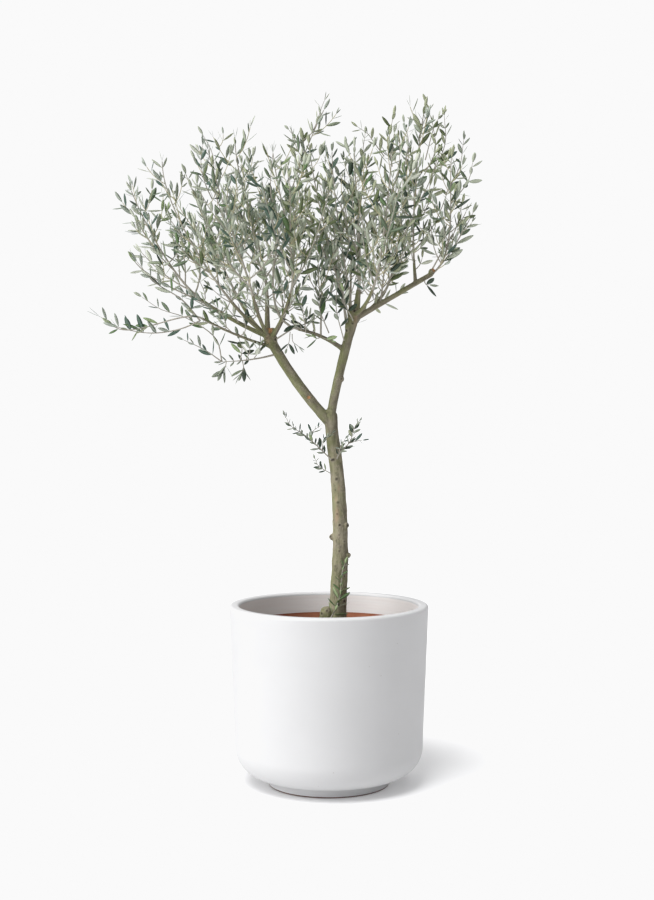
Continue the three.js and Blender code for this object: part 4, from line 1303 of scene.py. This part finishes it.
# %% The six tints
LEAF_COLOURS = {  # upper face, lower face
    "deep": ((0.052, 0.084, 0.052), (0.40, 0.45, 0.35)),
    "blue": ((0.105, 0.172, 0.128), (0.53, 0.59, 0.50)),
    "sage": ((0.175, 0.235, 0.145), (0.60, 0.65, 0.51)),
    "olive": ((0.150, 0.192, 0.082), (0.53, 0.57, 0.38)),
    "silver": ((0.385, 0.450, 0.310), (0.80, 0.84, 0.70)),
    "fresh": ((0.140, 0.235, 0.092), (0.42, 0.53, 0.28)),
}
FACE_GLOSS = {"upper": (0.42, 0.6), "lower": (0.7, 0.9)}  # least and most roughness
forms_given = {f"Form {i}": form for i, form in enumerate(leaf_forms)}
for tint, colours in LEAF_COLOURS.items():
    upper_face, lower_face = (
        finish(f"leaf_{tint}_{side}", colour, colour, 90, 900, gloss, 0.0001, plain_colour=True)
        for (side, gloss), colour in zip(FACE_GLOSS.items(), colours)
    )
    chosen = np.flatnonzero(keep & (tints == tint))
    points = new_object("leaf_roots", roots[chosen] * MM)
    attribute(points, "ahead", aheads[chosen])
    attribute(points, "face", faces[chosen])
    attribute(points, "size", np.stack([lengths, widths, widths], axis=1)[chosen] * MM)
    attribute(points, "form", (chosen * 7) % len(BENDS), "INT")
    leaves = grow(points, PLACE, f"{tint}_leaves", Upper=upper_face, Lower=lower_face,
                  **forms_given)
    finished(leaves, "leaf", *mass_names)
for form in leaf_forms:
    bpy.data.objects.remove(form)

# %% [markdown]
# ## Floor and room
# A pale sweep of paper: one large disc, and a world of the same brightness behind it, so that no
# horizon shows. The world lights the plant less than it shows, which keeps the shaded side of the
# pot grey.

# %% Floor
PAPER = finish("pale_paper", (0.97, 0.97, 0.973), (0.965, 0.965, 0.97), 3, 300, (0.85, 0.95),
               0.00005)
PAPER_BOUNCE = (0.74, 0.74, 0.743)  # how white the paper is to the light that it sends back
ray = add(PAPER.node_tree, "ShaderNodeLightPath")
overlay(PAPER, ray.outputs["Is Camera Ray"], PAPER_BOUNCE, under=True)
FLOOR_REACH, FLOOR_SIDES, FLOOR_DROP = 60, 96, 0.0004  # metres; a hair under the pot's foot
rim = [(FLOOR_REACH * math.cos(a), FLOOR_REACH * math.sin(a), -FLOOR_DROP)
       for a in np.linspace(0, FULL_TURN, FLOOR_SIDES + 1)[:-1]]
floor = new_object("floor", rim, [tuple(range(len(rim)))], materials=(PAPER,), smooth=False)
print("floor", 2 * FLOOR_REACH, "m across")


# %% What each lamp lights
def only(kind, lamp, shape, state):
    """Includes or excludes one shape from what a lamp lights, or from what blocks it."""
    linked = bpy.data.collections.new(f"{lamp}_{kind}")
    linked.objects.link(shape)
    setattr(lamps[lamp].light_linking, f"{kind}_collection", linked)
    linked.collection_objects[0].light_linking.link_state = state
    print(f"{lamp}, {kind}: {shape.name} {state.lower()}d")


for lamp in ("window", "low_window"):
    only("receiver", lamp, floor, "EXCLUDE")
for lamp in ("over_floor", "side_floor", "floor_fill"):
    only("receiver", lamp, floor, "INCLUDE")
only("receiver", "over_rim", pot, "INCLUDE")
for lamp in ("over_floor", "side_floor", "over_rim"):
    only("blocker", lamp, pot, "INCLUDE")

# %% World
ROOM_SHOWN, ROOM_LIGHT = (0.97, 0.97, 0.974, 1), (0.19, 0.19, 0.196, 1)
world = bpy.data.worlds.new("room")
scene.world = world
world.use_nodes = True
air = world.node_tree
air.nodes.clear()
seen, light = (add(air, "ShaderNodeBackground", {"Color": c}) for c in (ROOM_SHOWN, ROOM_LIGHT))
ray = add(air, "ShaderNodeLightPath")
either = add(air, "ShaderNodeMixShader", {0: ray.outputs["Is Camera Ray"], 1: light, 2: seen})
add(air, "ShaderNodeOutputWorld", {0: either})
print("the room shows", ROOM_SHOWN[:3], "and lights with", ROOM_LIGHT[:3])

# %% [markdown]
# ## Totals
# The pieces and their triangles are counted. The dressed plant has to stay inside the
# box of its solids, give or take a little.

# %% Pieces and triangles
print(len(FINISHED), "pieces,", sum(map(triangles, FINISHED)), "triangles in all")
